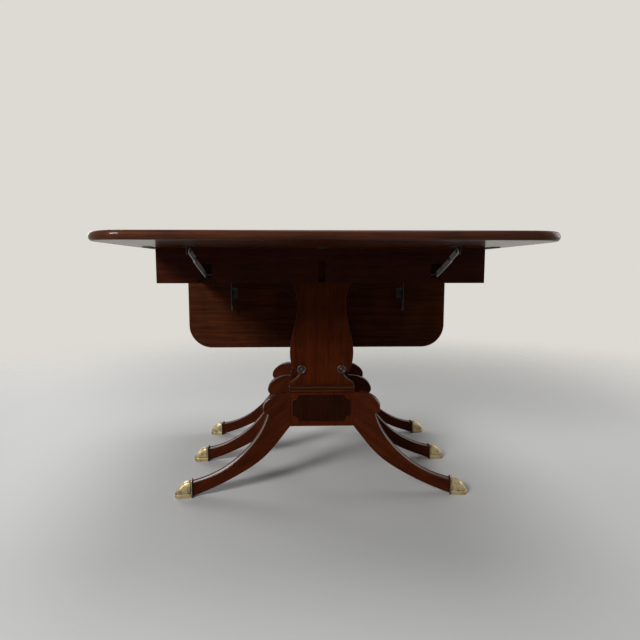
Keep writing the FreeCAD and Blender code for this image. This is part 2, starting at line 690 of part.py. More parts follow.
def panel_outline(face_y, grow):
    """Oblong with hollow quarter-round corners, on a face of the block."""
    half_x = BLOCK_WIDTH / 2 - PANEL_SIDE_MARGIN + grow
    half_z = BLOCK_HEIGHT / 2 - PANEL_RAIL_MARGIN + grow
    middle = BLOCK_BOTTOM + BLOCK_HEIGHT / 2
    radius = PANEL_CORNER - grow
    dip = radius * math.sqrt(0.5)
    edges = []
    corners = [(1, -1), (1, 1), (-1, 1), (-1, -1)]
    ends = []
    for sx, sz in corners:
        corner = Vector(sx * half_x, face_y, middle + sz * half_z)
        along_x = corner - Vector(sx * radius, 0, 0)
        along_z = corner - Vector(0, 0, sz * radius)
        inward = corner - Vector(sx * dip, 0, sz * dip)
        first, last = (along_x, along_z) if sx * sz < 0 else (along_z, along_x)
        ends.append((first, last))
        edges.append(arc(first, inward, last))
    for (_, last), (first, _) in zip(ends, ends[1:] + ends[:1]):
        edges.append(line(last, first))
    return edges


def panels(y, grow=0.0):
    """Thin dark panels let into the block's front and back; grown, they are the pockets."""
    pieces = []
    for facing in (-1, 1):
        face = y + facing * BLOCK_DEPTH / 2
        if grow:
            thickness = PANEL_THICKNESS + PANEL_SINK
            start = face
        else:
            thickness = PANEL_THICKNESS
            start = face - facing * PANEL_SINK
        pieces.append(prism(panel_outline(start, grow), Vector(0, -facing * thickness, 0)))
    return group(pieces)


def block(y, splay):
    """Block between the legs, with mortises for the slab and the legs and two panel pockets."""
    body = block_box(y, 0.0, BLOCK_BOTTOM, BLOCK_TOP)
    cuts = [slab_tenon(y, GLUE_GAP), panels(y, GLUE_GAP)]
    for side in (-1, 1):
        cuts.append(leg_tenon(y, side, splay, GLUE_GAP))
    return body.cut(group(cuts))


# Legs and toe caps

def leg_frame(shape, y, side, splay):
    """Put a leg modelled along +X on its pedestal, turned out in plan by the splay."""
    placed = turned(shape, ORIGIN, UP, splay)
    if side < 0:
        placed = mirror_x(placed)
    placed.translate(Vector(0, y, 0))
    return placed


def leg_profile(y):
    """Knee, tuck and sabre curve of a leg, in the upright plane that it lies in."""
    def make(out, z):
        return Vector(out, y, z)
    root = BLOCK_WIDTH / 2
    flat_end = root + KNEE_FLAT
    knee = root + KNEE_OUT
    knee_z = KNEE_TOP - KNEE_DROP
    tuck = make(knee - TUCK_DEPTH, knee_z - TUCK_DROP)
    heel = make(root, BLOCK_BOTTOM)
    ankle_high = make(ANKLE_REACH, ANKLE_TOP)
    ankle_low = make(ANKLE_REACH, ANKLE_BOTTOM)
    return [
        line(make(0, KNEE_TOP), make(flat_end, KNEE_TOP)),
        quarter_ellipse(make(flat_end, knee_z), make(flat_end, KNEE_TOP), make(knee, knee_z)),
        quarter_ellipse(make(tuck.x, knee_z), make(knee, knee_z), tuck),
        spline(between(tuck, ankle_high, SABRE_UPPER)),
        line(ankle_high, ankle_low),
        spline(between(heel, ankle_low, SABRE_LOWER)),
        line(heel, make(0, BLOCK_BOTTOM)),
        line(make(0, BLOCK_BOTTOM), make(0, KNEE_TOP)),
    ]


def leg_plan():
    """A leg seen from above: parallel in the block, then tapering to the ankle."""
    root = BLOCK_WIDTH / 2
    thick = LEG_THICKNESS / 2
    thin = ANKLE_THICKNESS / 2
    corners = [Vector(0, -thick, 0), Vector(root, -thick, 0), Vector(ANKLE_REACH, -thin, 0),
               Vector(ANKLE_REACH, thin, 0), Vector(root, thick, 0), Vector(0, thick, 0)]
    return prism(polygon(corners), Vector(0, 0, KNEE_TOP))


def toe_tenon(ease):
    """End of a leg inside its cap; with an ease it is the socket for it."""
    half = ANKLE_THICKNESS / 2 - SOCKET_WALL + ease
    low = ANKLE_BOTTOM + SOCKET_WALL - ease
    high = ANKLE_BOTTOM + SOCKET_WALL + TOE_TENON_HEIGHT + ease
    return box(ANKLE_REACH, ANKLE_REACH + SOCKET_DEPTH + ease, -half, half, low, high)


def leg_tenon(y, side, splay, ease):
    """Tenon at a leg's root; with an ease it is the mortise in the block."""
    half_y = LEG_TENON_THICKNESS / 2 + ease
    middle = (BLOCK_BOTTOM + KNEE_TOP) / 2
    half_z = LEG_TENON_HEIGHT / 2 + ease
    shift = -math.tan(math.radians(splay)) * BLOCK_WIDTH / 2
    x1 = BLOCK_WIDTH / 2
    x0 = x1 - LEG_TENON_DEPTH - ease
    y0 = y - shift - half_y
    y1 = y - shift + half_y
    return mirrored_box(side, x0, x1, y0, y1, middle - half_z, middle + half_z)


def leg(y, side, splay):
    """A sabre leg, cut to the block's side and tenoned into it."""
    thickest = max(LEG_THICKNESS, ANKLE_THICKNESS)
    body = prism(leg_profile(-thickest / 2), Vector(0, thickest, 0)).common(leg_plan())
    body = leg_frame(fused([body, toe_tenon(0.0)]), y, side, splay)
    return fused([body.cut(block_box(y, 0.0, 0.0, BLOCK_TOP)), leg_tenon(y, side, splay, 0.0)])


def cap_plan(half, toe, height):
    """Straight sides and a half-round toe, standing on the floor."""
    straight = box(ANKLE_REACH, toe - half, -half, half, 0, height)
    return fused([straight, Part.makeCylinder(half, height, Vector(toe - half, 0, 0))])


def toe_cap():
    """Brass shoe on a thin sole, with a raised collar, hollow for the leg's end."""
    half = CAP_WIDTH / 2
    toe = ANKLE_REACH + CAP_LENGTH
    tip = toe - TOE_LIP
    nose = ANKLE_REACH + COLLAR_WIDTH

    def make(out, z):
        return Vector(out, -half, z)
    edges = [
        line(make(ANKLE_REACH, 0), make(tip, 0)),
        line(make(tip, 0), make(tip, SOLE_HEIGHT)),
        spline(between(make(nose, CAP_HEIGHT), make(tip, SOLE_HEIGHT), CAP_FALL)),
        line(make(nose, CAP_HEIGHT), make(ANKLE_REACH, CAP_HEIGHT)),
        line(make(ANKLE_REACH, CAP_HEIGHT), make(ANKLE_REACH, 0)),
    ]
    upper = prism(edges, Vector(0, CAP_WIDTH, 0)).common(cap_plan(half - SOLE_LIP, tip, CAP_HEIGHT))
    rim = half + COLLAR_LIP
    collar = box(ANKLE_REACH, ANKLE_REACH + COLLAR_WIDTH, -rim, rim, 0, CAP_HEIGHT + COLLAR_LIP)
    return fused([upper, cap_plan(half, toe, SOLE_HEIGHT), collar]).cut(toe_tenon(GLUE_GAP))


def toe_caps(y, splay):
    return group([leg_frame(toe_cap(), y, side, splay) for side in (-1, 1)])


def pedestal_base(prefix, y, splay):
    """What an end pedestal and the middle one have in common."""
    return {
        prefix + "_rosettes": rosettes(y),
        prefix + "_reeded_band": reeded_band(y),
        prefix + "_block": block(y, splay),
        prefix + "_block_panels": panels(y),
        prefix + "_leg_left": leg(y, -1, splay),
        prefix + "_leg_right": leg(y, 1, splay),
        prefix + "_toe_caps": toe_caps(y, splay),
    }


# Slides

def tongue(side, face, direction, ease):
    """Tongue of a runner on a rail's side face; with an ease it is the rail's groove."""
    middle = (RAIL_BOTTOM + RAIL_TOP) / 2
    half = TONGUE_HEIGHT / 2 + ease
    x0, x1 = sorted((face + direction * ease, face - direction * (TONGUE_DEPTH + ease)))
    return mirrored_box(side, x0, x1, -RAIL_END, RAIL_END, middle - half, middle + half)


def slide_rails():
    """Fixed rails on the middle pedestal, grooved on both sides."""
    x0 = RAIL_X - RAIL_WIDTH / 2
    x1 = RAIL_X + RAIL_WIDTH / 2
    pieces = []
    for side in (-1, 1):
        rail = mirrored_box(side, x0, x1, -RAIL_END, RAIL_END, RAIL_BOTTOM, RAIL_TOP)
        grooves = [tongue(side, x1, 1, SLIDE_GAP), tongue(side, x0, -1, SLIDE_GAP)]
        pieces.append(rail.cut(group(grooves)))
    return group(pieces)


def slide_runners(direction):
    """Front half's runners, outside (+1) or inside (-1) the rails, under both halves."""
    face = RAIL_X + direction * RAIL_WIDTH / 2
    near = face + direction * SLIDE_GAP
    x0, x1 = sorted((near, near + direction * RUNNER_WIDTH))
    root0, root1 = sorted((face, near))
    low = RAIL_BOTTOM + RUNNER_LIFT
    middle = (RAIL_BOTTOM + RAIL_TOP) / 2
    half = TONGUE_HEIGHT / 2
    pieces = []
    for side in (-1, 1):
        seated = mirrored_box(side, x0, x1, -RAIL_END, SPLIT_Y, low, UNDERSIDE)
        free = mirrored_box(side, x0, x1, SPLIT_Y, RAIL_END, low, RAIL_TOP)
        root = mirrored_box(side, root0, root1, -RAIL_END, RAIL_END, middle - half, middle + half)
        pieces.append(fused([seated, free, root, tongue(side, face, direction, 0.0)]))
    return group(pieces)


def centre_bearer():
    """Cross bearer on the middle slab, under the fixed rails."""
    half = BEARER_WIDTH / 2
    return box(-half, half, -BEARER_DEPTH / 2, BEARER_DEPTH / 2, BEARER_BOTTOM, RAIL_BOTTOM)


# Folding stays

def link(side, layer, start, angle, length):
    """Flat link with round ends in one of the layers beside each other across a slot."""
    x = STAY_NEAR + layer * STAY_PITCH
    x0, x1 = sorted((side * x, side * (x + STAY_THICKNESS)))
    y = HINGE_Y - start[0]
    z = HINGE_Z + start[1]
    bar = box(x0, x1, y - length, y, z - STAY_WIDTH / 2, z + STAY_WIDTH / 2)
    ends = [rod(x0, x1, y, z, STAY_WIDTH), rod(x0, x1, y - length, z, STAY_WIDTH)]
    bore = rod(x0 - CUT_MARGIN, x1 + CUT_MARGIN, y, z, STAY_PIN_DIAMETER + 2 * PIN_CLEARANCE)
    plate = fused([bar] + ends).cut(bore)
    return turned(plate, Vector(0, y, z), ALONG_X, -math.degrees(angle))


def stay_lower(side):
    """Lower link of a raised stay, from the pin in the apron's slot out to the knuckle."""
    return link(side, 1, (PIVOT_OUT, PIVOT_DROP), STAY_ANGLE, STAY_LOWER)


def stay_upper(side):
    """Upper link of a raised stay, with the knuckle's rivet head on its inner face."""
    plate = link(side, 0, (BRACKET_REACH, BRACKET_BELOW), math.pi + STAY_ANGLE, STAY_UPPER)
    y = HINGE_Y - BRACKET_REACH + STAY_UPPER * math.cos(STAY_ANGLE)
    z = BRACKET_Z - STAY_UPPER * math.sin(STAY_ANGLE)
    x0, x1 = sorted((side * STAY_NEAR, side * (STAY_NEAR - STAY_HEAD_HEIGHT)))
    return fused([plate, rod(x0, x1, y, z, STAY_HEAD_DIAMETER)])


def stay_bracket(side):
    """Plate under the leaf with an ear, a spacing boss and a headed stud for the upper link."""
    y = HINGE_Y - BRACKET_REACH
    half_plate = BRACKET_LENGTH / 2
    half_ear = STAY_WIDTH / 2
    plate = mirrored_box(side, BRACKET_SIDE - BRACKET_WIDTH, BRACKET_SIDE, y - half_plate, y + half_plate,
                         PLATE_BOTTOM, UNDERSIDE)
    web = mirrored_box(side, BRACKET_EAR, BRACKET_SIDE, y - half_ear, y + half_ear, BRACKET_Z, PLATE_BOTTOM)
    head = STAY_NEAR - STAY_GAP
    boss = STAY_NEAR + STAY_PITCH
    spans = [(BRACKET_EAR, BRACKET_SIDE, STAY_WIDTH), (boss, BRACKET_EAR, STAY_HEAD_DIAMETER),
             (head, boss, STAY_PIN_DIAMETER), (head - STAY_HEAD_HEIGHT, head, STAY_HEAD_DIAMETER)]
    pieces = [plate, web]
    for x0, x1, diameter in spans:
        low, high = sorted((side * x0, side * x1))
        pieces.append(rod(low, high, y, BRACKET_Z, diameter))
    holes = [screw_hole(*place) for place in bracket_screw_places()]
    return fused(pieces).cut(group(holes))


def hung_lower(side):
    """A lower link after its leaf has been let down."""
    pivot = Vector(0, HINGE_Y - PIVOT_OUT, PIVOT_Z)
    return turned(stay_lower(side), pivot, ALONG_X, math.degrees(LOWER_SWING))


def hung_upper(side):
    """An upper link after its leaf has been let down."""
    pivot = Vector(0, HINGE_Y - BRACKET_REACH, BRACKET_Z)
    folded = turned(stay_upper(side), pivot, ALONG_X, -math.degrees(UPPER_SWING_ON_LEAF))
    return hinge_turn(folded, 90)


# Assembly

def pivot_pins():
    """Pins of the hinges and of the stays' lower pivots."""
    return group([hinge_pin(x) for x in hinge_places()] + [stay_pin(side) for side in (-1, 1)])


def half_nodes(prefix, runner_side):
    """Everything fixed to the front half of the bed."""
    y = PEDESTAL_Y
    nodes = {
        prefix + "_bed_top": bed_top(),
        prefix + "_end_apron": end_apron(),
        prefix + "_side_aprons": side_aprons(),
        prefix + "_corner_blocks": corner_blocks(),
        prefix + "_head_block": head_block(y),
        prefix + "_slab": end_slab(y),
        prefix + "_slide_runners": slide_runners(runner_side),
        prefix + "_bed_hinge_plates": bed_hinge_plates(),
        prefix + "_bed_hinge_screws": group([screw(*place) for place in bed_screw_places()]),
        prefix + "_pivot_pins": pivot_pins(),
    }
    nodes.update(pedestal_base(prefix, y, -LEG_SPLAY))
    return nodes


def leaf_nodes(prefix):
    """Everything fixed to the front leaf, raised."""
    return {
        prefix + "_leaf": leaf_board(),
        prefix + "_leaf_hinge_plates": leaf_hinge_plates(),
        prefix + "_leaf_screws": group([screw(*place) for place in leaf_screw_places()]),
        prefix + "_stay_brackets": group([stay_bracket(side) for side in (-1, 1)]),
    }


def all_nodes():
    """Every node by name, with Y = 0 on the middle pedestal."""
    nodes = {
        "centre_slab": centre_slab(),
        "centre_bearer": centre_bearer(),
        "slide_rails": slide_rails(),
    }
    nodes.update(pedestal_base("centre", 0.0, 0.0))
    nodes.update(half_nodes("front", 1))
    nodes.update(leaf_nodes("front"))
    for name, shape in half_nodes("rear", -1).items():
        nodes[swapped(name)] = to_rear(shape)
    for name, shape in leaf_nodes("rear").items():
        nodes[name] = to_rear(hinge_turn(shape, 90))
    for side, label, opposite in ((-1, "left", "right"), (1, "right", "left")):
        nodes["front_stay_lower_" + label] = stay_lower(side)
        nodes["front_stay_upper_" + label] = stay_upper(side)
        nodes["rear_stay_lower_" + opposite] = to_rear(hung_lower(side))
        nodes["rear_stay_upper_" + opposite] = to_rear(hung_upper(side))
    return nodes


def swapped(name):
    """Left and right change places when a front piece is carried to the rear."""
    if name.endswith("_left"):
        return name[:-len("left")] + "right"
    if name.endswith("_right"):
        return name[:-len("right")] + "left"
    return name


os.makedirs("parts", exist_ok=True)
for node_name, node_shape in all_nodes().items():
    node_shape.translate(Vector(0, ORIGIN_SHIFT, 0))
    node_shape.exportStep(os.path.join("parts", node_name + ".step"))
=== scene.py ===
"""Shaped wood, mounts, finishes and studio for the drop-leaf dining table on three pedestals."""
import json
import math
from collections import namedtuple

import bmesh
import bpy
import numpy as np
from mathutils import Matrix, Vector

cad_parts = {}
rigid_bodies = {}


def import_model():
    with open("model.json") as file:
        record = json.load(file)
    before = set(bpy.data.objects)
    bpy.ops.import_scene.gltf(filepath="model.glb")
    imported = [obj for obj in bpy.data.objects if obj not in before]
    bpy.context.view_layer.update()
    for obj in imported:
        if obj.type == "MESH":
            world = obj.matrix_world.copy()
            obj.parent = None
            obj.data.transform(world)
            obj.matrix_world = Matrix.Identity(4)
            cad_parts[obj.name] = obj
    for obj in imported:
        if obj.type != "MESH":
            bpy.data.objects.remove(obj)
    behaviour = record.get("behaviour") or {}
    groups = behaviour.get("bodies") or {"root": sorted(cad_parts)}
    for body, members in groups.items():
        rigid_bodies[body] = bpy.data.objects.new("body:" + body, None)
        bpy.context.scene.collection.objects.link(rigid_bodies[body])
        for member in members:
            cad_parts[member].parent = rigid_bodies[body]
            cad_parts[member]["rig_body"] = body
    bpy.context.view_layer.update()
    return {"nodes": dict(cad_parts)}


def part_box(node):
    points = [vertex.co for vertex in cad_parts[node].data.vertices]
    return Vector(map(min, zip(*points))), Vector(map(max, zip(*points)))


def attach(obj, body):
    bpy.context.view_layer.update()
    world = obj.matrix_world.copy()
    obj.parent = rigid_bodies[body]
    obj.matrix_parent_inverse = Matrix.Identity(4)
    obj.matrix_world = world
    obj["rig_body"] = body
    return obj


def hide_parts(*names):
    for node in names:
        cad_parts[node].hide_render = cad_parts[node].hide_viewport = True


bl_info = {
    "name": "Drop-leaf dining table",
    "version": (1, 0, 0),
    "blender": (4, 5, 0),
    "location": "3D View > Sidebar > Table",
    "description": "Shaped wood, brass toe caps, finishes and studio for the dining table",
    "category": "Object",
}

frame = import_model()
NODES = frame["nodes"]
PEDESTALS = ("front", "centre", "rear")
MM = 0.001

# Heights and widths shared by the pedestals, read from the solid parts
BLOCK_LOW, BLOCK_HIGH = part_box("front_block")
SLAB_LOW, SLAB_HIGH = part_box("front_slab")
APRON_LOW, APRON_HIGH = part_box("front_end_apron")
BEARER_LOW, BEARER_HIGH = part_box("centre_bearer")
BLOCK_HALF_WIDTH = BLOCK_HIGH.x
BLOCK_HALF_DEPTH = (BLOCK_HIGH.y - BLOCK_LOW.y) / 2
BLOCK_BOTTOM = BLOCK_LOW.z
BLOCK_TOP = BLOCK_HIGH.z
SLAB_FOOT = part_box("front_reeded_band")[1].z
SLAB_HALF_DEPTH = (SLAB_HIGH.y - SLAB_LOW.y) / 2
UNDERSIDE = APRON_HIGH.z
APRON_BOTTOM = APRON_LOW.z

# Shaped slab: half-widths, and heights above its foot
FOOT_RISE = 3.5 * MM
HOLLOW_RISE = 30 * MM
HOLLOW_DEPTH = 3 * MM
NOTCH = np.array((65.5, 37.0)) * MM
SCROLL = np.array((90.5, 66.0)) * MM
BELLY = np.array((94.0, 98.0)) * MM
NECK_HALF = 72.5 * MM
FLARE_HALF = 96 * MM
HEAD_HALF = 70 * MM
SHOULDER = 12 * MM
NECK_SHARE = 0.54
CENTRE_NECK_SHARE = 0.38

# Room for a slab's rounded edge: at its foot, and as a share of the way to the points of flare and foot
FOOT_ROOM = 0.5 * MM
POINT_ROOM = 0.4

# Rosettes on the slab: places, then shares of a rosette's radius (bead, button) and of its rise
ROSETTE_OUT = 59 * MM
ROSETTE_RISE = 48 * MM
ROSETTE_BEAD = 0.22
ROSETTE_BUTTON = 0.34
ROSETTE_FIELD = 0.45
ROSETTE_HOLLOW = 0.22
ROSETTE_DOME = 0.5
ROSETTE_TIP = 0.01 * MM

# Sabre leg in its own upright plane: distance out from the pedestal's axis, height
LEG_SPLAY = math.radians(9)
LEG_ROOT = 92 * MM
KNEE_TOP = 300 * MM
KNEE_FLAT_END = 105 * MM
KNEE = np.array((177.0, 252.0)) * MM
TUCK = np.array((162.0, 236.0)) * MM
HEEL = np.array((97.0, 198.0)) * MM
ANKLE_HIGH = np.array((383.0, 45.0)) * MM
ANKLE_LOW = np.array((383.0, 4.0)) * MM
SABRE_UPPER = np.array(((0.055, 0.178), (0.294, 0.560), (0.633, 0.853)))
SABRE_LOWER = np.array(((0.095, 0.175), (0.265, 0.454), (0.530, 0.711), (0.802, 0.897)))
LEG_HALF_AT_HEEL = 17 * MM
LEG_HALF_AT_ANKLE = 12.5 * MM

# Crown of the sunk field on a leg, as a share of its depth, and how many points of the rim share its polish
FIELD_CROWN = 0.45
POLISHED_RIM = 4

# Shift of the grain from one leg to the next, and the share of it that goes across
LEG_GRAIN_STEP = 0.83
LEG_GRAIN_ASIDE = 0.7

# Toe cap, measured on from the ankle
CAP_LENGTH = 52 * MM
CAP_HALF = 14 * MM
CAP_HEIGHT = 47 * MM
CAP_SOLE = 13 * MM
CAP_LIP = 1 * MM
TOE_LIP = 2 * MM
CAP_FALL = np.array(((0.256, 0.021), (0.444, 0.131), (0.622, 0.304), (0.844, 0.622)))
CAP_GROOVE = 1.2 * MM
COLLAR_WIDTH = 6 * MM
COLLAR_HALF = 15.5 * MM
COLLAR_TOP = 48.5 * MM
COLLAR_CORNER = 4 * MM
COLLAR_BEAD = 1.5 * MM
SOLE_BEAD = 1.6 * MM

# Toe cap's arches: their superellipse's power, how far they are drawn in at the grooves, over what share of
# their height at the foot, and the rows of points beside the collar in widths of the groove
ARCH_POWER = 0.55
ARCH_DRAWN_IN = 0.07
ARCH_FOOT = 0.04
GROOVE_ROWS = np.array((0.2, 0.8, 1.6))

# Darkening in a toe cap's grooves, partly dirty brass and partly painted shade: its share above the sole, and
# its places in widths of the groove
SOLE_DIRT_AND_SHADE = 0.45
COLLAR_DIRT_AND_SHADE_PLACE = 0.5
LEG_DIRT_AND_SHADE_END = 1.6

# Folding stays
RIVET_HEIGHT = 1.8 * MM

# Sill of the stays' slots above the aprons' lower edge
SLOT_SILL = 15 * MM

# Panel on the block's face, and the bead round it: its rise as a share of its width, its foot in the wood
PANEL_SIDE_MARGIN = 10 * MM
PANEL_RAIL_MARGIN = 14 * MM
PANEL_CORNER = 18 * MM
PANEL_POCKET = 3 * MM
PANEL_EDGE_SLACK = 1 * MM
BEAD_RISE = 0.5
BEAD_SINK = 0.8 * MM

# How closely surfaces are worked: points that count as one, the angle of a sharp edge, the least cosine of
# half a turn at a corner, and the flat beside a rounded rim as a share of its radius
SAME_POINT = 0.02 * MM
WELD_DISTANCE = 0.001 * MM
SHARP_EDGE = math.radians(38)
CORNER_LIMIT = 0.5
RIM_FLAT = 0.4

# Steps and points along the curves
RIM_STEPS = 5
SLAB_ROUND_STEPS = 14
SLAB_CURVE_STEPS = 48
SABRE_LOWER_STEPS = 44
SABRE_UPPER_STEPS = 52
TUCK_STEPS = 8
KNEE_STEPS = 18
NOSE_STEPS = 60
TOE_POINTS = 25
ARCH_POINTS = 17
COLLAR_POINTS = 7
HALF_ROUND_POINTS = 9
PANEL_CORNER_POINTS = 9
LEG_BEAD_POINTS = 4
LEG_FIELD_POINTS = 5
ROSETTE_RING_POINTS = 11
ROSETTE_HOLLOW_POINTS = 6
ROSETTE_DOME_POINTS = 7
ROSETTE_SEGMENTS = 40

# Camera, as worked out from the picture's perspective
CAMERA_PLACE = (-0.0463, -1.4445, 0.6638)
CAMERA_YAW = 0.02955
CAMERA_PITCH = 0.1068
CAMERA_LENS = 27.0
SENSOR_WIDTH = 36.0
NEAREST_SEEN = 0.01

# Lamps: name, place, what they point at, width and watts
Lamp = namedtuple("Lamp", "name place aim width watts")
LAMPS = (
    Lamp("key_lamp", (-2.2, -2.9, 2.25), (0.0, -0.1, 0.30), 1.0, 125.0),
    Lamp("side_lamp", (3.0, 0.8, 1.3), (0.0, 0.1, 0.40), 2.0, 28.0),
    Lamp("rear_lamp", (-2.4, 2.7, 1.7), (0.0, 0.2, 0.40), 2.0, 45.0),
    Lamp("top_lamp", (0.3, 0.2, 3.4), (0.0, 0.0, 0.7), 2.0, 50.0),
)

# Floor and fill: rings and segments of the floor, where it fades into the backdrop, its speckle, and the
# even light that comes from all round
FLOOR_RADII = np.array((0.02, 1.0, 2.0, 3.0, 4.0))
FLOOR_SEGMENTS = 96
FLOOR_FADE = (1.2, 3.6)
SPECKLE_COVER = 0.12
SPECKLE_DARKER = 0.8
FILL_COLOUR = (0.97, 0.98, 1.0, 1.0)
FILL_STRENGTH = 0.13

# Noises in the wood: pitch along and across the grain, then scale, detail, roughness and distortion
Pattern = namedtuple("Pattern", "along across scale detail roughness distortion", defaults=(0.5, 0.0))
STREAKS = Pattern(1.3, 26.0, 2.2, 5.0, 0.6, 0.5)
FIBRES = Pattern(9.0, 120.0, 2.0, 4.0, 0.65)
BOARD_FIBRES = FIBRES._replace(along=4.0)
RIBBON = Pattern(9.0, 4.0, 1.6, 2.0)
PORES = Pattern(36.0, 760.0, 1.0, 1.0)
SEED_SHIFT = (1.0, 1.7, -0.6)

# What the noises give to the figure, and the edges between dark and light
STREAK_SHARE = 0.42
FIBRE_SHARE = 0.46
RIBBON_SHARE = 0.22
FIGURE_EDGES = (0.38, 0.72)
PORE_EDGES = (0.60, 0.74)
PORE_COVER = 0.6
PORE_DARKER = 0.45

# Polish and wear of the wood
FIBRE_ROUGHER = 0.10
PORE_ROUGHER = 0.14
BARE_WOOD_ROUGHER = 0.3
# How dark the wood goes at the top's dirty joints and in the aprons' painted shade
WOOD_DIRT_AND_SHADE_DARKER = 0.3
COAT_ROUGHNESS = 0.12
TOP_RUBBED_OFF = 1 / 3
FIBRE_RELIEF = 0.35

# Depths over which the wood's finish changes
FACE_DEPTH = 2 * MM
FACE_BLUR = 1 * MM
# Depths behind the aprons' outer faces over which their painted shade comes in
APRON_SHADE_DEPTHS = (1 * MM, 3 * MM)
LIP_BLUR = 2 * MM
JOINT_DIRT = (0.5 * MM, 1.8 * MM)

# Rosettes' polish
ROSETTE_ROUGHNESS = 0.24
WORN_ROUGHER = 0.15
UNWORN_DARKER = 0.4

# Brass: what its tarnish, specks, and the dirty, painted-shade grooves cover, and what they do to its colour
# and gloss
CLOUD_SHARE = 0.75
FINE_SHARE = 0.25
TARNISH_COVER = 0.85
SPECK_COVER = 0.7
SPECK_DARKER = 0.5
GROOVE_DIRT_AND_SHADE_UNEVENNESS = 0.3
GROOVE_DIRT_AND_SHADE_DARKER = 0.08
BRASS_METALLIC = 0.72
TARNISH_DULLS = 0.25
DIRT_DULLS = 0.4
BRASS_ROUGHNESS = 0.36
TARNISH_ROUGHER = 0.22
DIRT_ROUGHER = 0.2

# Steel: dull patches, black metal behind the rivets' faces, and scratches
PATCH_COVER = 0.7
PATCH_DARKER = 0.45
BLACKENED = 0.06
RIVET_EDGE = 0.2 * MM
SCRATCH_ROUGHER = 0.15
PATCH_ROUGHER = 0.12


# Sizes and colours that can be changed

def size_property(name, description, default, low, high):
    """A length that can be changed within limits, given in millimetres."""
    return bpy.props.FloatProperty(
        name=name, description=description, default=default * MM, min=low * MM, max=high * MM,
        unit="LENGTH", subtype="DISTANCE")


class TableSizes(bpy.types.PropertyGroup):
    """Small sizes of the shaped wood and the mounts."""
    arris: size_property("Arris", "Rounding of the slabs' edges", 2.2, 0.5, 6)
    block_arris: size_property("Block arris", "Rounding of the blocks' edges", 1.6, 0.5, 4)
    leg_bead: size_property("Leg bead", "Radius of the beads along the edges of a leg", 3.0, 1, 5)
    leg_sinking: size_property("Leg sinking", "Depth of the field between a leg's beads", 1.6, 0, 3)
    rosette_radius: size_property("Rosette radius", "Outer radius of a turned rosette", 14, 6, 16)
    rosette_rise: size_property("Rosette rise", "Height of a rosette's ring above the slab", 5.0, 2, 5)
    band_reeds: bpy.props.IntProperty(
        name="Band reeds", description="Reeds in the band above a block, and again on the block's own top",
        default=1, min=1, max=3)
    band_overhang: size_property("Band overhang", "How far the reeds stand out from the block", 0.5, 0, 2)
    panel_bead: size_property("Panel bead", "Width of the bead round a block's panel", 2.6, 1, 5)


def colour_property(name, description, default):
    """A colour that can be picked, in scene-linear values."""
    return bpy.props.FloatVectorProperty(
        name=name, description=description, default=default, size=3, min=0.0, max=1.0, subtype="COLOR")


class TableColours(bpy.types.PropertyGroup):
    """Colours of the wood, the metal and the studio."""
    wood_light: colour_property("Light mahogany", "Light streaks of the mahogany", (0.066, 0.0112, 0.0014))
    wood_dark: colour_property("Dark mahogany", "Dark streaks of the mahogany", (0.024, 0.0037, 0.0006))
    top_light: colour_property("Light top", "Light streaks of the top and leaves", (0.074, 0.0185, 0.0050))
    top_dark: colour_property("Dark top", "Dark streaks of the top and leaves", (0.022, 0.0048, 0.0016))
    # The aprons and the bearer are the same mahogany as the slabs; these darker colours are painted shade
    # from the top above them
    apron_light: colour_property("Light apron", "Light streaks of the aprons", (0.044, 0.0088, 0.0034))
    apron_dark: colour_property("Dark apron", "Dark streaks of the aprons", (0.016, 0.0031, 0.0016))
    # The bands are the same mahogany made greyer: partly dust, partly a painted sheen of light on the reeds
    band_light: colour_property("Light band", "Light streaks of the reeded bands", (0.050, 0.0150, 0.0060))
    band_dark: colour_property("Dark band", "Dark streaks of the reeded bands", (0.020, 0.0050, 0.0020))
    panel_light: colour_property("Light panel", "Light streaks of the inlaid panels", (0.024, 0.0046, 0.0012))
    panel_dark: colour_property("Dark panel", "Dark streaks of the inlaid panels", (0.0075, 0.0016, 0.0006))
    rosette: colour_property("Rosette", "Turned rosettes", (0.040, 0.0165, 0.0100))
    # Hidden wood is pale secondary wood; these dark colours are painted shade for what is seen through the
    # slots
    inner_light: colour_property("Light inner wood", "Light streaks of hidden wood", (0.030, 0.0130, 0.0060))
    inner_dark: colour_property("Dark inner wood", "Dark streaks of hidden wood", (0.013, 0.0052, 0.0024))
    brass_bright: colour_property("Bright brass", "Rubbed brass", (0.540, 0.425, 0.225))
    brass_dull: colour_property("Dull brass", "Tarnished brass", (0.135, 0.092, 0.045))
    stay_steel: colour_property("Stay steel", "Steel of the folding stays", (0.340, 0.340, 0.325))
    # The hanging leaf's stays are the same steel as the raised ones, darkened as painted shade
    stay_steel_in_painted_shade: colour_property("Stay steel in painted shade", "Stays of the hanging leaf", (0.045, 0.044, 0.041))
    hinge_steel: colour_property("Hinge steel", "Blackened steel of hinges and screws", (0.014, 0.013, 0.012))
    floor: colour_property("Floor", "Studio floor", (0.500, 0.500, 0.495))
    backdrop: colour_property("Backdrop", "Studio backdrop", (0.720, 0.700, 0.650))


# Curves and surfaces

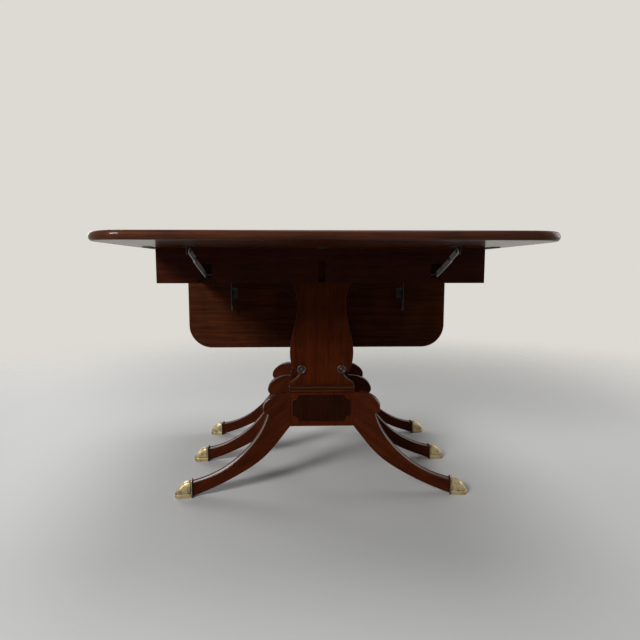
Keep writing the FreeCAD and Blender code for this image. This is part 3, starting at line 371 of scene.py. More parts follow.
def smooth_curve(points, steps):
    """Points along a cubic through the given points.

    Knots lie at the chord lengths, the end slopes are those of the cubic through the four points
    nearest to each end, and the inner slopes make the curvature continuous.
    """
    points = np.asarray(points, float)
    gaps = np.linalg.norm(np.diff(points, axis=0), axis=1)
    knots = np.concatenate(([0.0], np.cumsum(gaps)))
    count = len(points)
    slopes = np.zeros((count, count))
    right = np.zeros((count, 2))
    slopes[0, 0] = 1.0
    slopes[-1, -1] = 1.0
    right[0] = end_slope(knots[:4], points[:4])
    right[-1] = end_slope(knots[-1] - knots[-4:][::-1], points[-4:][::-1]) * -1.0
    inner = np.arange(1, count - 1)
    slopes[inner, inner - 1] = gaps[inner]
    slopes[inner, inner] = 2 * (gaps[inner - 1] + gaps[inner])
    slopes[inner, inner + 1] = gaps[inner - 1]
    rises = np.diff(points, axis=0) / gaps[:, None]
    right[inner] = 3 * (gaps[inner, None] * rises[inner - 1] + gaps[inner - 1, None] * rises[inner])
    tangents = np.linalg.solve(slopes, right)
    place = np.linspace(0.0, knots[-1], steps + 1)
    span = np.clip(np.searchsorted(knots, place, side="right") - 1, 0, count - 2)
    t = ((place - knots[span]) / gaps[span])[:, None]
    width = gaps[span][:, None]
    return (points[span] * (2 * t**3 - 3 * t**2 + 1) + points[span + 1] * (3 * t**2 - 2 * t**3)
            + tangents[span] * width * (t**3 - 2 * t**2 + t) + tangents[span + 1] * width * (t**3 - t**2))


def end_slope(knots, points):
    """Slope at the first knot of the polynomial through all the points given."""
    powers = np.vander(knots - knots[0], increasing=True)
    return np.linalg.solve(powers, points)[1]


def quarter_ellipse(centre, first, second, steps):
    """Points at centre + first half-axis times cosine + second half-axis times sine, over a quarter turn."""
    turn = np.linspace(0.0, math.pi / 2, steps + 1)[:, None]
    centre = np.asarray(centre, float)
    return centre + (np.asarray(first) - centre) * np.cos(turn) + (np.asarray(second) - centre) * np.sin(turn)


def shallow_arc(start, end, depth, steps):
    """Points on the circle through two points that bulges by the given depth to the left of the way."""
    start = np.asarray(start, float)
    chord = np.asarray(end, float) - start
    length = np.linalg.norm(chord)
    radius = (length**2 / 4 + depth**2) / (2 * depth)
    turn = np.linspace(-1.0, 1.0, steps + 1)[:, None] * math.asin(length / 2 / radius)
    along = chord / length
    aside = np.array((-along[1], along[0]))
    bulge = radius * np.cos(turn) - radius + depth
    return start + chord / 2 + along * radius * np.sin(turn) + aside * bulge


def shares_between(start, end, shares):
    """The start, the points at the given shares of the run and of the fall, and the end."""
    return np.vstack((start, start + shares * (end - start), end))


def outline_normals(outline):
    """Outward normals of a closed outline that runs anticlockwise: the mean of the two edges' normals at
    each point, lengthened so that an offset keeps its distance from both edges."""
    ahead = np.roll(outline, -1, axis=0) - outline
    ahead /= np.linalg.norm(ahead, axis=1)[:, None]
    edge = np.column_stack((ahead[:, 1], -ahead[:, 0]))
    mean = edge + np.roll(edge, 1, axis=0)
    mean /= np.linalg.norm(mean, axis=1)[:, None]
    reach = np.clip((mean * edge).sum(axis=1), CORNER_LIMIT, 1.0)
    return mean / reach[:, None]


def joined(*runs):
    """Runs of points end to end, without the points that repeat."""
    points = np.vstack(runs)
    gap = np.linalg.norm(points - np.roll(points, 1, axis=0), axis=1)
    return points[gap > SAME_POINT]


def mirrored_outline(right):
    """A right-hand outline from foot to head, with its mirror image back down to the foot."""
    left = right[::-1] * np.array((-1.0, 1.0))
    return joined(right, left)


def ring_faces(rows, columns):
    """Quads between neighbouring rows of a grid that closes on itself along its columns."""
    row = np.arange(rows - 1)[:, None]
    column = np.arange(columns)[None, :]
    following = (column + 1) % columns
    corners = (row * columns + column, row * columns + following,
               (row + 1) * columns + following, (row + 1) * columns + column)
    return np.stack(np.broadcast_arrays(*corners), axis=-1).reshape(-1, 4).tolist()


def capped(rows, columns):
    """Faces of a closed grid with its first and last rows filled in."""
    last = (rows - 1) * columns
    ends = [list(range(columns)), list(range(last, last + columns))]
    return ring_faces(rows, columns) + ends


def with_level(flat, level):
    """The flat points of a grid with a third coordinate, given for each row, column or point."""
    level = np.broadcast_to(level, flat.shape[:2])
    return np.concatenate((flat, level[:, :, None]), axis=2)


def rim_section(radius):
    """Half of a plate's edge: insets from the outline and depths from the face.

    It starts on the face a little inside the rim and follows a quarter circle out to the edge.
    """
    turn = np.linspace(0.0, math.pi / 2, RIM_STEPS + 1)
    inset = np.concatenate(([radius + RIM_FLAT * radius], radius * (1 - np.sin(turn))))
    depth = np.concatenate(([0.0], radius * (1 - np.cos(turn))))
    return inset, depth


def rounded_plate(outline, half, radius, room=np.inf):
    """A plate with rounded edges: the rim's section carried round the outline.

    Every row is the outline moved in along its normals by the section's inset, or by the room there is at
    that point where that is less, at the section's depth from the face. Gives (first, second, across)
    coordinates and the faces.
    """
    inset, depth = rim_section(radius)
    inset = np.concatenate((inset, inset[::-1]))
    across = np.concatenate((depth - half, half - depth[::-1]))
    normals = outline_normals(outline)
    flat = outline[None] - normals[None] * np.minimum(inset[:, None], room)[:, :, None]
    grid = with_level(flat, across[:, None])
    return grid.reshape(-1, 3), capped(len(across), len(outline))


def turned_solid(radii, heights, segments):
    """A profile of radii and heights turned about its axis: (radius cosine, radius sine, height)."""
    turn = np.linspace(0.0, 2 * math.pi, segments, endpoint=False)
    grid = np.stack((radii[:, None] * np.cos(turn), radii[:, None] * np.sin(turn),
                     np.broadcast_to(heights[:, None], (len(heights), segments))), axis=-1)
    return grid.reshape(-1, 3), capped(len(radii), segments)


def gathered(parts):
    """Several shapes as one list of points and one list of faces."""
    points = []
    faces = []
    start = 0
    for part_points, part_faces in parts:
        points.append(part_points)
        faces += [[start + index for index in face] for face in part_faces]
        start += len(part_points)
    return np.vstack(points), faces


def piece(name, shape, node, finish, fields=None):
    """Make an object from points and faces, closed and with its faces outward, that moves with a solid part.

    Fields are numbers or vectors carried on its points for the finish to read.
    """
    points, faces = shape
    mesh = bpy.data.meshes.new(name)
    mesh.from_pydata(points.tolist(), [], faces)
    for key, values in (fields or {}).items():
        kind, member = ("FLOAT", "value") if values.ndim == 1 else ("FLOAT_VECTOR", "vector")
        stored = mesh.attributes.new(key, kind, "POINT")
        stored.data.foreach_set(member, np.ascontiguousarray(values, dtype=np.float32).ravel())
    work = bmesh.new()
    work.from_mesh(mesh)
    bmesh.ops.remove_doubles(work, verts=work.verts[:], dist=WELD_DISTANCE)
    bmesh.ops.recalc_face_normals(work, faces=work.faces[:])
    work.to_mesh(mesh)
    work.free()
    if not mesh.polygons:
        raise RuntimeError(f"{name} came out with no faces")
    mesh.shade_smooth()
    mesh.set_sharp_from_angle(angle=SHARP_EDGE)
    made = bpy.data.objects.new(name, mesh)
    bpy.context.scene.collection.objects.link(made)
    mesh.materials.append(finish)
    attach(made, NODES[node]["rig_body"])
    return made


def dress(nodes, finish):
    """Give solid parts a finish."""
    for name in nodes:
        slots = NODES[name].data.materials
        slots.clear()
        slots.append(finish)


# Finishes

class Value:
    """A socket in a finish; arithmetic on it adds Math nodes."""

    def __init__(self, finish, socket):
        self.finish = finish
        self.socket = socket

    def __add__(self, other):
        return self.finish.maths("ADD", self, other)

    def __radd__(self, other):
        return self.finish.maths("ADD", other, self)

    def __sub__(self, other):
        return self.finish.maths("SUBTRACT", self, other)

    def __rsub__(self, other):
        return self.finish.maths("SUBTRACT", other, self)

    def __mul__(self, other):
        return self.finish.maths("MULTIPLY", self, other)

    def __rmul__(self, other):
        return self.finish.maths("MULTIPLY", other, self)

    def __abs__(self):
        return self.finish.maths("ABSOLUTE", self, 0.0)


class Finish:
    """A procedural finish, built node by node."""

    def __init__(self, name, tree=None):
        self.material = None
        if tree is None:
            self.material = bpy.data.materials.new(name)
            self.material.use_nodes = True
            tree = self.material.node_tree
        self.tree = tree
        self.tree.nodes.clear()

    def node(self, kind, settings=None, sockets=None, output=0):
        """Add a node: its settings first, then the values or links of its sockets."""
        made = self.tree.nodes.new(kind)
        for key, value in (settings or {}).items():
            setattr(made, key, value)
        for key, value in (sockets or {}).items():
            if isinstance(value, Value):
                self.tree.links.new(value.socket, made.inputs[key])
            else:
                made.inputs[key].default_value = value
        if made.outputs:
            return Value(self, made.outputs[output])
        return None

    def maths(self, operation, first, second):
        """A Math node on two values or numbers."""
        return self.node("ShaderNodeMath", {"operation": operation}, {0: first, 1: second})

    def mix(self, share, first, second):
        """A colour between two colours."""
        first = first if isinstance(first, Value) else (*first, 1.0)
        second = second if isinstance(second, Value) else (*second, 1.0)
        return self.node("ShaderNodeMix", {"data_type": "RGBA"}, {0: share, 6: first, 7: second}, output=2)

    def scaled(self, vector, scale, place=(0.0, 0.0, 0.0)):
        """Coordinates that are stretched and shifted."""
        return self.node("ShaderNodeMapping", {}, {"Vector": vector, "Scale": scale, "Location": place})

    def noise(self, vector, scale, detail, roughness=0.5, distortion=0.0):
        """Noise between 0 and 1 at a place."""
        return self.node("ShaderNodeTexNoise", {}, {
            "Vector": vector, "Scale": scale, "Detail": detail, "Roughness": roughness,
            "Distortion": distortion})

    def stepped(self, value, low, high):
        """0 below low, 1 above high, eased between."""
        return self.node("ShaderNodeMapRange", {"interpolation_type": "SMOOTHSTEP"}, {
            "Value": value, "From Min": low, "From Max": high, "To Min": 0.0, "To Max": 1.0})

    def dented(self, height, strength, depth):
        """A normal that follows small heights."""
        return self.node("ShaderNodeBump", {}, {"Strength": strength, "Distance": depth, "Height": height})

    def object_place(self):
        """A point's place on the piece."""
        return self.node("ShaderNodeTexCoord", {}, {}, output="Object")

    def coordinate(self, axis):
        """One coordinate of a point on the piece."""
        return self.node("ShaderNodeSeparateXYZ", {}, {0: self.object_place()}, output=axis)

    def carried(self, name, output="Fac"):
        """A number carried on the piece's points, or a vector."""
        return self.node("ShaderNodeAttribute", {"attribute_name": name}, {}, output=output)

    def surface(self, sockets):
        """Close the finish with its shader."""
        shader = self.node("ShaderNodeBsdfPrincipled", {}, sockets)
        self.node("ShaderNodeOutputMaterial", {}, {"Surface": shader})
        return self.material


def deeper(colour, share):
    """A colour darkened to a share of itself."""
    return tuple(share * part for part in colour)


def stain(colours, kind):
    """Light and dark colour of a kind of wood."""
    return tuple(getattr(colours, kind + "_light")), tuple(getattr(colours, kind + "_dark"))


def stretched(axis, along, across):
    """Scales for a pattern that is drawn out along one axis."""
    scales = [across, across, across]
    scales[axis] = along
    return tuple(scales)


def wood(name, light, dark, axis=0, roughness=0.3, specular=0.03, coat=0.0, seed=0.0, polished=None,
         joint_dirt_and_shade=None, fibre_pattern=FIBRES, follows_grain=False):
    """Straight-grained wood.

    Broad streaks and fine fibres are noise drawn out along the grain, a slow noise across it gives
    the ribbon figure, and the pores are short dark dashes that also roughen and dent the polish.
    Polished gives the share of polish over the surface: the coat is scaled by it, and bare wood is rougher.
    joint_dirt_and_shade gives the share of darkened wood: the top's dirty joints, and painted shade on the
    aprons' hidden faces. The grain runs along an axis, or as carried on the piece's points.
    """
    finish = Finish(name)
    place = finish.carried("grain", "Vector") if follows_grain else finish.object_place()
    shift = tuple(part * seed for part in SEED_SHIFT)

    def drawn(pattern):
        scales = stretched(axis, pattern.along, pattern.across)
        return finish.noise(finish.scaled(place, scales, shift), pattern.scale, pattern.detail,
                            pattern.roughness, pattern.distortion)

    streaks = drawn(STREAKS)
    fibres = drawn(fibre_pattern)
    ribbon = drawn(RIBBON)
    pores = finish.stepped(drawn(PORES), *PORE_EDGES)
    blend = streaks * STREAK_SHARE + fibres * FIBRE_SHARE + ribbon * RIBBON_SHARE
    wooden = finish.mix(finish.stepped(blend, *FIGURE_EDGES), dark, light)
    colour = finish.mix(pores * PORE_COVER, wooden, deeper(dark, PORE_DARKER))
    # Darkening: the top's dirty joints, and painted shade on the aprons' hidden faces
    if joint_dirt_and_shade:
        colour = finish.mix(joint_dirt_and_shade(finish), colour, deeper(dark, WOOD_DIRT_AND_SHADE_DARKER))
    rough = fibres * FIBRE_ROUGHER + pores * PORE_ROUGHER + (roughness - 0.5 * FIBRE_ROUGHER)
    if polished:
        share = polished(finish)
        rough = rough + (1 - share) * BARE_WOOD_ROUGHER
        coat = share * coat
    bump = finish.dented(fibres * FIBRE_RELIEF - pores, strength=0.18, depth=0.2 * MM)
    return finish.surface({
        "Base Color": colour, "Roughness": rough, "Normal": bump, "Specular IOR Level": specular,
        "Coat Weight": coat, "Coat Roughness": COAT_ROUGHNESS})


def beyond(axis, level):
    """A share that is 1 where a coordinate is above a level and 0 below it."""
    return lambda finish: finish.stepped(finish.coordinate(axis), level - FACE_BLUR, level + FACE_BLUR)


def rubbed_top(finish):
    """The polish left on a board: all of it below, two thirds of it on the side in use."""
    return 1 - TOP_RUBBED_OFF * beyond(2, UNDERSIDE + FACE_DEPTH)(finish)


def apron_painted_shade(finish):
    """A share of painted shade that is 1 on the hidden faces of the aprons.

    It rises with the depth behind the outer faces, and stays 0 on the lower edges and their hollows.
    """
    middle = (APRON_LOW.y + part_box("rear_end_apron")[1].y) / 2
    behind_end = (middle - APRON_LOW.y) - abs(finish.coordinate(1) - middle)
    behind_side = APRON_HIGH.x - abs(finish.coordinate(0))
    above_lip = finish.coordinate(2) - (APRON_BOTTOM + SLOT_SILL)
    return (finish.stepped(behind_end, *APRON_SHADE_DEPTHS) * finish.stepped(behind_side, *APRON_SHADE_DEPTHS)
            * finish.stepped(above_lip, -LIP_BLUR, 0.0))


def joint_lines(finish):
    """A share that is 1 along the joints of the top, and falls with the distance from the nearest one.

    The joints are the split in the bed, and a hinge line at an even distance on either side of it.
    """
    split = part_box("front_bed_top")[1].y
    from_split = abs(finish.coordinate(1) - split)
    from_hinge = abs(from_split - (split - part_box("front_leaf")[1].y))
    return 1 - finish.stepped(finish.maths("MINIMUM", from_split, from_hinge), *JOINT_DIRT)


def turned_wood(name, colour):
    """Dark turned wood with a worn, greyer polish in blotches."""
    finish = Finish(name)
    cloud = finish.noise(finish.object_place(), scale=90.0, detail=4.0, roughness=0.6)
    blotch = finish.stepped(cloud, low=0.35, high=0.7)
    shade = finish.mix(blotch, deeper(colour, UNWORN_DARKER), colour)
    return finish.surface({
        "Base Color": shade, "Roughness": blotch * WORN_ROUGHER + ROSETTE_ROUGHNESS,
        "Specular IOR Level": 0.4, "Coat Weight": 0.1, "Coat Roughness": 0.15})


def patinated_brass(name, bright, dull):
    """Brass rubbed bright in patches and tarnished between them, with dark specks, and grooves that are dirty
    and darkened by painted shade.
    """
    finish = Finish(name)
    place = finish.object_place()
    cloud = finish.noise(place, scale=75.0, detail=5.0, roughness=0.62, distortion=0.6)
    fine = finish.noise(place, scale=420.0, detail=3.0, roughness=0.6)
    tarnish = finish.stepped(cloud * CLOUD_SHARE + fine * FINE_SHARE, low=0.44, high=0.64)
    specks = finish.stepped(finish.noise(place, scale=240.0, detail=2.0), low=0.66, high=0.74)
    rubbed = finish.mix(tarnish * TARNISH_COVER, bright, dull)
    # Near black in the grooves: the brass is dirty there, and the darkness is also painted shade at the leg,
    # the collar and the sole
    groove_dirt_and_shade = finish.stepped(finish.carried("recess") + cloud * GROOVE_DIRT_AND_SHADE_UNEVENNESS, low=0.40, high=0.70)
    speckled = finish.mix(specks * SPECK_COVER, rubbed, deeper(dull, SPECK_DARKER))
    colour = finish.mix(groove_dirt_and_shade, speckled, deeper(dull, GROOVE_DIRT_AND_SHADE_DARKER))
    bump = finish.dented(fine, strength=0.12, depth=0.2 * MM)
    return finish.surface({
        "Base Color": colour, "Metallic": BRASS_METALLIC - tarnish * TARNISH_DULLS - groove_dirt_and_shade * DIRT_DULLS,
        "Roughness": tarnish * TARNISH_ROUGHER + groove_dirt_and_shade * DIRT_ROUGHER + BRASS_ROUGHNESS, "Normal": bump})


def worked_steel(name, colour, roughness, metallic, rivet=None):
    """Filed steel: fine scratches along the bar, and dull darker patches.

    Where a rivet's distance from the middle plane is given, the metal nearer to the plane is blackened.
    """
    finish = Finish(name)
    place = finish.object_place()
    drawn_out = finish.scaled(place, stretched(0, along=900.0, across=60.0))
    scratches = finish.noise(drawn_out, scale=1.0, detail=3.0, roughness=0.6)
    cloud = finish.noise(place, scale=60.0, detail=4.0, roughness=0.6)
    patches = finish.stepped(cloud, low=0.42, high=0.72)
    shade = finish.mix(patches * PATCH_COVER, colour, deeper(colour, PATCH_DARKER))
    if rivet:
        bare = finish.stepped(abs(finish.coordinate(0)), rivet - RIVET_EDGE, rivet)
        shade = finish.mix(bare, deeper(colour, BLACKENED), shade)
    bump = finish.dented(scratches, strength=0.1, depth=0.1 * MM)
    return finish.surface({
        "Base Color": shade, "Metallic": metallic, "Normal": bump,
        "Roughness": scratches * SCRATCH_ROUGHER + patches * PATCH_ROUGHER + roughness})


# Places on the pedestals

def pedestal_place(prefix):
    """Where a pedestal's axis meets the floor."""
    low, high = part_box(prefix + "_block")
    return np.array(((low.x + high.x) / 2, (low.y + high.y) / 2, 0.0))


def leg_axes(prefix, side):
    """Directions out along a leg and across it; the end pedestals' legs turn away from the middle."""
    turn = {"front": -LEG_SPLAY, "centre": 0.0, "rear": LEG_SPLAY}[prefix]
    out = np.array((side * math.cos(turn), math.sin(turn), 0.0))
    across = np.array((-out[1], out[0], 0.0))
    return out, across


def on_leg(points, prefix, side):
    """Carry (out, height, across) coordinates to a leg's place."""
    out, across = leg_axes(prefix, side)
    upright = np.array((0.0, 0.0, 1.0))
    return pedestal_place(prefix) + points @ np.vstack((out, upright, across))


def on_pedestal(points, prefix):
    """Carry (sideways, height, across) coordinates to a pedestal's place."""
    axes = np.array(((1.0, 0.0, 0.0), (0.0, 0.0, 1.0), (0.0, 1.0, 0.0)))
    return pedestal_place(prefix) + points @ axes


# Shaped pieces

def slab_outline(prefix):
    """Half-width and height round a shaped slab: a shallow hollow over the foot, a quarter ellipse for the
    scroll, then a cubic through the belly and the neck to the flare. An end slab goes on as a straight head
    behind the apron.

    Gives the outline and the room for a rounded edge, which shrinks towards the points of flare and foot.
    """
    base = np.array((0.0, SLAB_FOOT))
    foot = np.array((BLOCK_HALF_WIDTH, SLAB_FOOT + FOOT_RISE))
    hollow = np.array((NOTCH[0], SLAB_FOOT + HOLLOW_RISE))
    notch = base + NOTCH
    scroll = base + SCROLL
    belly = base + BELLY
    if prefix == "centre":
        flare = np.array((BEARER_HIGH.x, BEARER_LOW.z))
        share = CENTRE_NECK_SHARE
        head = flare[None]
    else:
        flare = np.array((FLARE_HALF, APRON_BOTTOM + SHOULDER))
        share = NECK_SHARE
        head = np.array((flare, (HEAD_HALF, flare[1]), (HEAD_HALF, UNDERSIDE)))
    neck = np.array((NECK_HALF, belly[1] + share * (flare[1] - belly[1])))
    right = joined(
        np.array(((BLOCK_HALF_WIDTH, SLAB_FOOT),)),
        shallow_arc(foot, hollow, HOLLOW_DEPTH, SLAB_ROUND_STEPS),
        quarter_ellipse((notch[0], scroll[1]), notch, scroll, SLAB_ROUND_STEPS),
        smooth_curve((scroll, belly, neck, flare), SLAB_CURVE_STEPS), head)
    outline = mirrored_outline(right)
    below_flare = POINT_ROOM * np.abs(outline[:, 1] - flare[1])
    above_foot = FOOT_ROOM + POINT_ROOM * (outline[:, 1] - SLAB_FOOT)
    return outline, np.minimum(below_flare, above_foot)


def leg_outline():
    """Distance out and height round a leg: knee and tuck as quarter ellipses, sabre curves as cubics.

    Gives the outline, anticlockwise, and how far the top's beads are worked at each point.
    """
    lower = smooth_curve(shares_between(HEEL, ANKLE_LOW, SABRE_LOWER), SABRE_LOWER_STEPS)
    upper = smooth_curve(shares_between(TUCK, ANKLE_HIGH, SABRE_UPPER), SABRE_UPPER_STEPS)[::-1]
    knee_top = np.array((KNEE_FLAT_END, KNEE_TOP))
    tuck_round = quarter_ellipse((TUCK[0], KNEE[1]), TUCK, KNEE, TUCK_STEPS)
    knee_round = quarter_ellipse((KNEE_FLAT_END, KNEE[1]), KNEE, knee_top, KNEE_STEPS)
    root = np.array(((LEG_ROOT, KNEE_TOP), (LEG_ROOT, HEEL[1])))
    outline = joined(lower, upper, tuck_round, knee_round, root)
    worked = np.zeros(len(outline))
    worked[len(lower):-1] = 1.0
    return outline, worked


def leg_half(out):
    """Half the leg's thickness, tapering evenly from the block to the ankle."""
    share = (out - HEEL[0]) / (ANKLE_LOW[0] - HEEL[0])
    return LEG_HALF_AT_HEEL + share * (LEG_HALF_AT_ANKLE - LEG_HALF_AT_HEEL)


def leg_surface(bead, sinking):
    """A leg: its edge section carried round the outline.

    The section is a quarter circle at each arris. On the upper side it goes on as a bead's inner half and
    a sunk, slightly crowned field; the depth of that part is scaled by how far the top is worked.
    Gives the points, the faces and each point's share of the worked top.
    """
    outline, worked = leg_outline()
    inset, depth = rim_section(bead)
    inner_turn = np.linspace(0.0, math.acos(1 - sinking / bead), LEG_BEAD_POINTS)[1:]
    share = np.linspace(0.0, 1.0, LEG_FIELD_POINTS)[1:]
    plain = np.concatenate((inset, np.zeros(len(inner_turn) + len(share))))
    sunk = np.concatenate((np.zeros(len(inset)), bead * (1 - np.cos(inner_turn)),
                           sinking * (1 - FIELD_CROWN * np.sin(share * math.pi / 2))))
    fixed = np.concatenate((depth, bead * (1 + np.sin(inner_turn)),
                            np.full(len(share), bead * (1 + math.sin(inner_turn[-1])))))
    spread = np.concatenate((np.zeros(len(inset) + len(inner_turn)), share))
    half = leg_half(outline[:, 0])
    from_face = fixed[:, None] + spread[:, None] * (half[None] - fixed[-1])
    push = plain[:, None] + sunk[:, None] * worked[None]
    flat = outline[None] - outline_normals(outline)[None] * push[:, :, None]
    half_now = leg_half(flat[:, :, 0])
    across = half_now - from_face * half_now / half[None]
    grid = np.concatenate((with_level(flat, -across), with_level(flat, across)[-2::-1]))
    on_top = np.zeros(len(fixed))
    on_top[len(inset) - POLISHED_RIM:] = 1.0
    shine = np.concatenate((on_top, on_top[-2::-1]))[:, None] * worked[None]
    return grid.reshape(-1, 3), capped(*grid.shape[:2]), shine.ravel()


def leg_grain(points, seed):
    """Grain coordinates of a leg: along the line from heel to ankle, across that line, and through."""
    slope = (ANKLE_LOW - HEEL) / np.linalg.norm(ANKLE_LOW - HEEL)
    along = points[:, 0] * slope[0] + points[:, 1] * slope[1]
    over = points[:, 1] * slope[0] - points[:, 0] * slope[1]
    return np.column_stack((along + seed, over + LEG_GRAIN_ASIDE * seed, points[:, 2]))


def eased(count):
    """Shares from 0 to 1 that lie closer together towards both ends."""
    share = np.linspace(0.0, 1.0, count)
    return share**2 / (share**2 + (1 - share) ** 2)


def cap_upper():
    """Upper part of a toe cap: square-shouldered arches along its length.

    Width follows a half circle over the toe, height a cubic that falls over the nose, and each arch is a
    superellipse. The arches beside the collar and the foot of every arch are drawn in, to leave a groove.
    """
    reach = CAP_LENGTH - TOE_LIP
    half = CAP_HALF - CAP_LIP
    even = reach * np.sin(np.linspace(0.0, math.pi / 2, TOE_POINTS))
    place = np.sort(np.concatenate((even, COLLAR_WIDTH + CAP_GROOVE * GROOVE_ROWS)))
    toe = np.clip((place - (reach - half)) / half, 0.0, 1.0)
    crest = np.array((COLLAR_WIDTH, CAP_HEIGHT))
    tip = np.array((reach, CAP_SOLE))
    fall = smooth_curve(shares_between(crest, tip, CAP_FALL), NOSE_STEPS)
    drawn_in = 1 - ARCH_DRAWN_IN * np.exp(-(((place - COLLAR_WIDTH) / CAP_GROOVE) ** 2))
    width = half * np.sqrt(1 - toe**2) * drawn_in
    rise = (np.interp(place, fall[:, 0], fall[:, 1]) - CAP_SOLE) * drawn_in
    rising = eased(ARCH_POINTS)
    arch = math.pi / 2 * np.concatenate((rising, 2 - rising[-2::-1]))
    up = np.abs(np.sin(arch)) ** ARCH_POWER
    over = np.sign(np.cos(arch)) * np.abs(np.cos(arch)) ** ARCH_POWER
    over = over * (1 - ARCH_DRAWN_IN * np.exp(-up / ARCH_FOOT))
    grid = np.stack((np.broadcast_to(place[:, None], (len(place), len(arch))),
                     CAP_SOLE + rise[:, None] * up[None], width[:, None] * over[None]), axis=-1)
    return grid.reshape(-1, 3), capped(len(place), len(arch))


def cap_sole():
    """Sole of a toe cap: a plan with a half-round toe, its edge section a shallow bead."""
    turn = np.linspace(-math.pi / 2, math.pi / 2, TOE_POINTS)
    toe = np.column_stack((CAP_LENGTH - CAP_HALF + CAP_HALF * np.cos(turn), CAP_HALF * np.sin(turn)))
    plan = np.vstack((((0.0, -CAP_HALF),), toe, ((0.0, CAP_HALF),)))
    points, faces = rounded_plate(plan, CAP_SOLE / 2, SOLE_BEAD)
    return np.column_stack((points[:, 0], points[:, 2] + CAP_SOLE / 2, points[:, 1])), faces


def cap_collar():
    """Collar of a toe cap: a round-cornered upright plate with a rounded rim."""
    turn = np.linspace(0.0, math.pi / 2, COLLAR_POINTS)
    over = COLLAR_HALF - COLLAR_CORNER + COLLAR_CORNER * np.cos(turn)
    up = COLLAR_TOP - COLLAR_CORNER + COLLAR_CORNER * np.sin(turn)
    right = np.vstack((((COLLAR_HALF, 0.0),), np.column_stack((over, up))))
    points, faces = rounded_plate(mirrored_outline(right), COLLAR_WIDTH / 2, COLLAR_BEAD)
    return np.column_stack((points[:, 2] + COLLAR_WIDTH / 2, points[:, 1], points[:, 0])), faces


def toe_cap():
    """A toe cap in its leg's plane, from the ankle outward, and how deep in a groove each point lies.

    The grooves run above the sole, in front of the collar and at the leg; each is a bell or a slope of the
    distance from it.
    """
    parts = (cap_upper(), cap_sole(), cap_collar())
    points, faces = gathered(parts)
    above_sole = SOLE_DIRT_AND_SHADE * np.exp(-(((points[:, 1] - CAP_SOLE) / CAP_GROOVE) ** 2))
    at_collar = np.exp(-(((points[:, 0] - COLLAR_WIDTH) / CAP_GROOVE - COLLAR_DIRT_AND_SHADE_PLACE) ** 2))
    at_leg = 1 - np.clip((points[:, 0] - LEG_DIRT_AND_SHADE_END * CAP_GROOVE) / CAP_GROOVE, 0.0, 1.0)
    off_sole = np.repeat((1.0, 0.0, 1.0), [len(part[0]) for part in parts])
    recess = np.maximum(above_sole, off_sole * np.maximum(at_collar, at_leg))
    return points + np.array((ANKLE_LOW[0], 0.0, 0.0)), faces, recess


def rosette_profile(radius, rise):
    """Radii and heights of a rosette: a half-round ring, a hollow and a domed button."""
    bead = ROSETTE_BEAD * radius
    button = ROSETTE_BUTTON * radius
    field = ROSETTE_FIELD * rise
    turn = np.linspace(0.0, math.pi, ROSETTE_RING_POINTS)
    ring = radius - bead + bead * np.cos(turn)
    ring_height = field + (1 - ROSETTE_FIELD) * rise * np.sin(turn)
    hollow = np.linspace(ring[-1], button, ROSETTE_HOLLOW_POINTS)[1:]
    share = (hollow - button) / (ring[-1] - button)
    hollow_height = field - ROSETTE_HOLLOW * rise * np.sin(share * math.pi)
    dome = np.linspace(0.0, math.pi / 2, ROSETTE_DOME_POINTS)[1:]
    radii = np.concatenate(((radius,), ring, hollow, button * np.cos(dome)))
    heights = np.concatenate(((0.0,), ring_height, hollow_height, field + ROSETTE_DOME * rise * np.sin(dome)))
    return np.maximum(radii, ROSETTE_TIP), heights


def reeded_surface(foot, head, reeds, overhang):
    """Half-round reeds between two levels, one above the other, carried round the block's oblong plan.

    A reed stands out by the overhang at its crest and falls back by its own radius beside it. Gives the
    points, the faces and each point's share of a crest.
    """
    reed = (head - foot) / reeds
    turn = np.linspace(-math.pi / 2, math.pi / 2, HALF_ROUND_POINTS)
    index = np.arange(reeds)[:, None]
    level = (foot + (index + 0.5) * reed + 0.5 * reed * np.sin(turn)[None]).ravel()
    stand = np.broadcast_to(overhang - 0.5 * reed * (1 - np.cos(turn)), (reeds, len(turn))).ravel()
    corners = np.array(((1, 1), (-1, 1), (-1, -1), (1, -1)), float)
    plan = corners * np.array((BLOCK_HALF_WIDTH, BLOCK_HALF_DEPTH))
    flat = plan[None] + corners[None] * stand[:, None, None]
    grid = with_level(flat, level[:, None])[:, :, (0, 2, 1)]
    crest = np.broadcast_to(np.cos(turn), (reeds, len(turn))).ravel()
    return grid.reshape(-1, 3), capped(*grid.shape[:2]), np.repeat(crest, len(corners))


def panel_outline():
    """Oblong with hollow quarter-round corners on the block's face, anticlockwise."""
    half_x = BLOCK_HALF_WIDTH - PANEL_SIDE_MARGIN
    half_z = (BLOCK_TOP - BLOCK_BOTTOM) / 2 - PANEL_RAIL_MARGIN
    middle = (BLOCK_TOP + BLOCK_BOTTOM) / 2
    runs = []
    for sx, sz, first, last in ((1, -1, math.pi, math.pi / 2), (1, 1, 1.5 * math.pi, math.pi),
                                (-1, 1, 2 * math.pi, 1.5 * math.pi), (-1, -1, math.pi / 2, 0.0)):
        turn = np.linspace(first, last, PANEL_CORNER_POINTS)
        runs.append(np.column_stack((sx * half_x + PANEL_CORNER * np.cos(turn),
                                     middle + sz * half_z + PANEL_CORNER * np.sin(turn))))
    return joined(*runs)


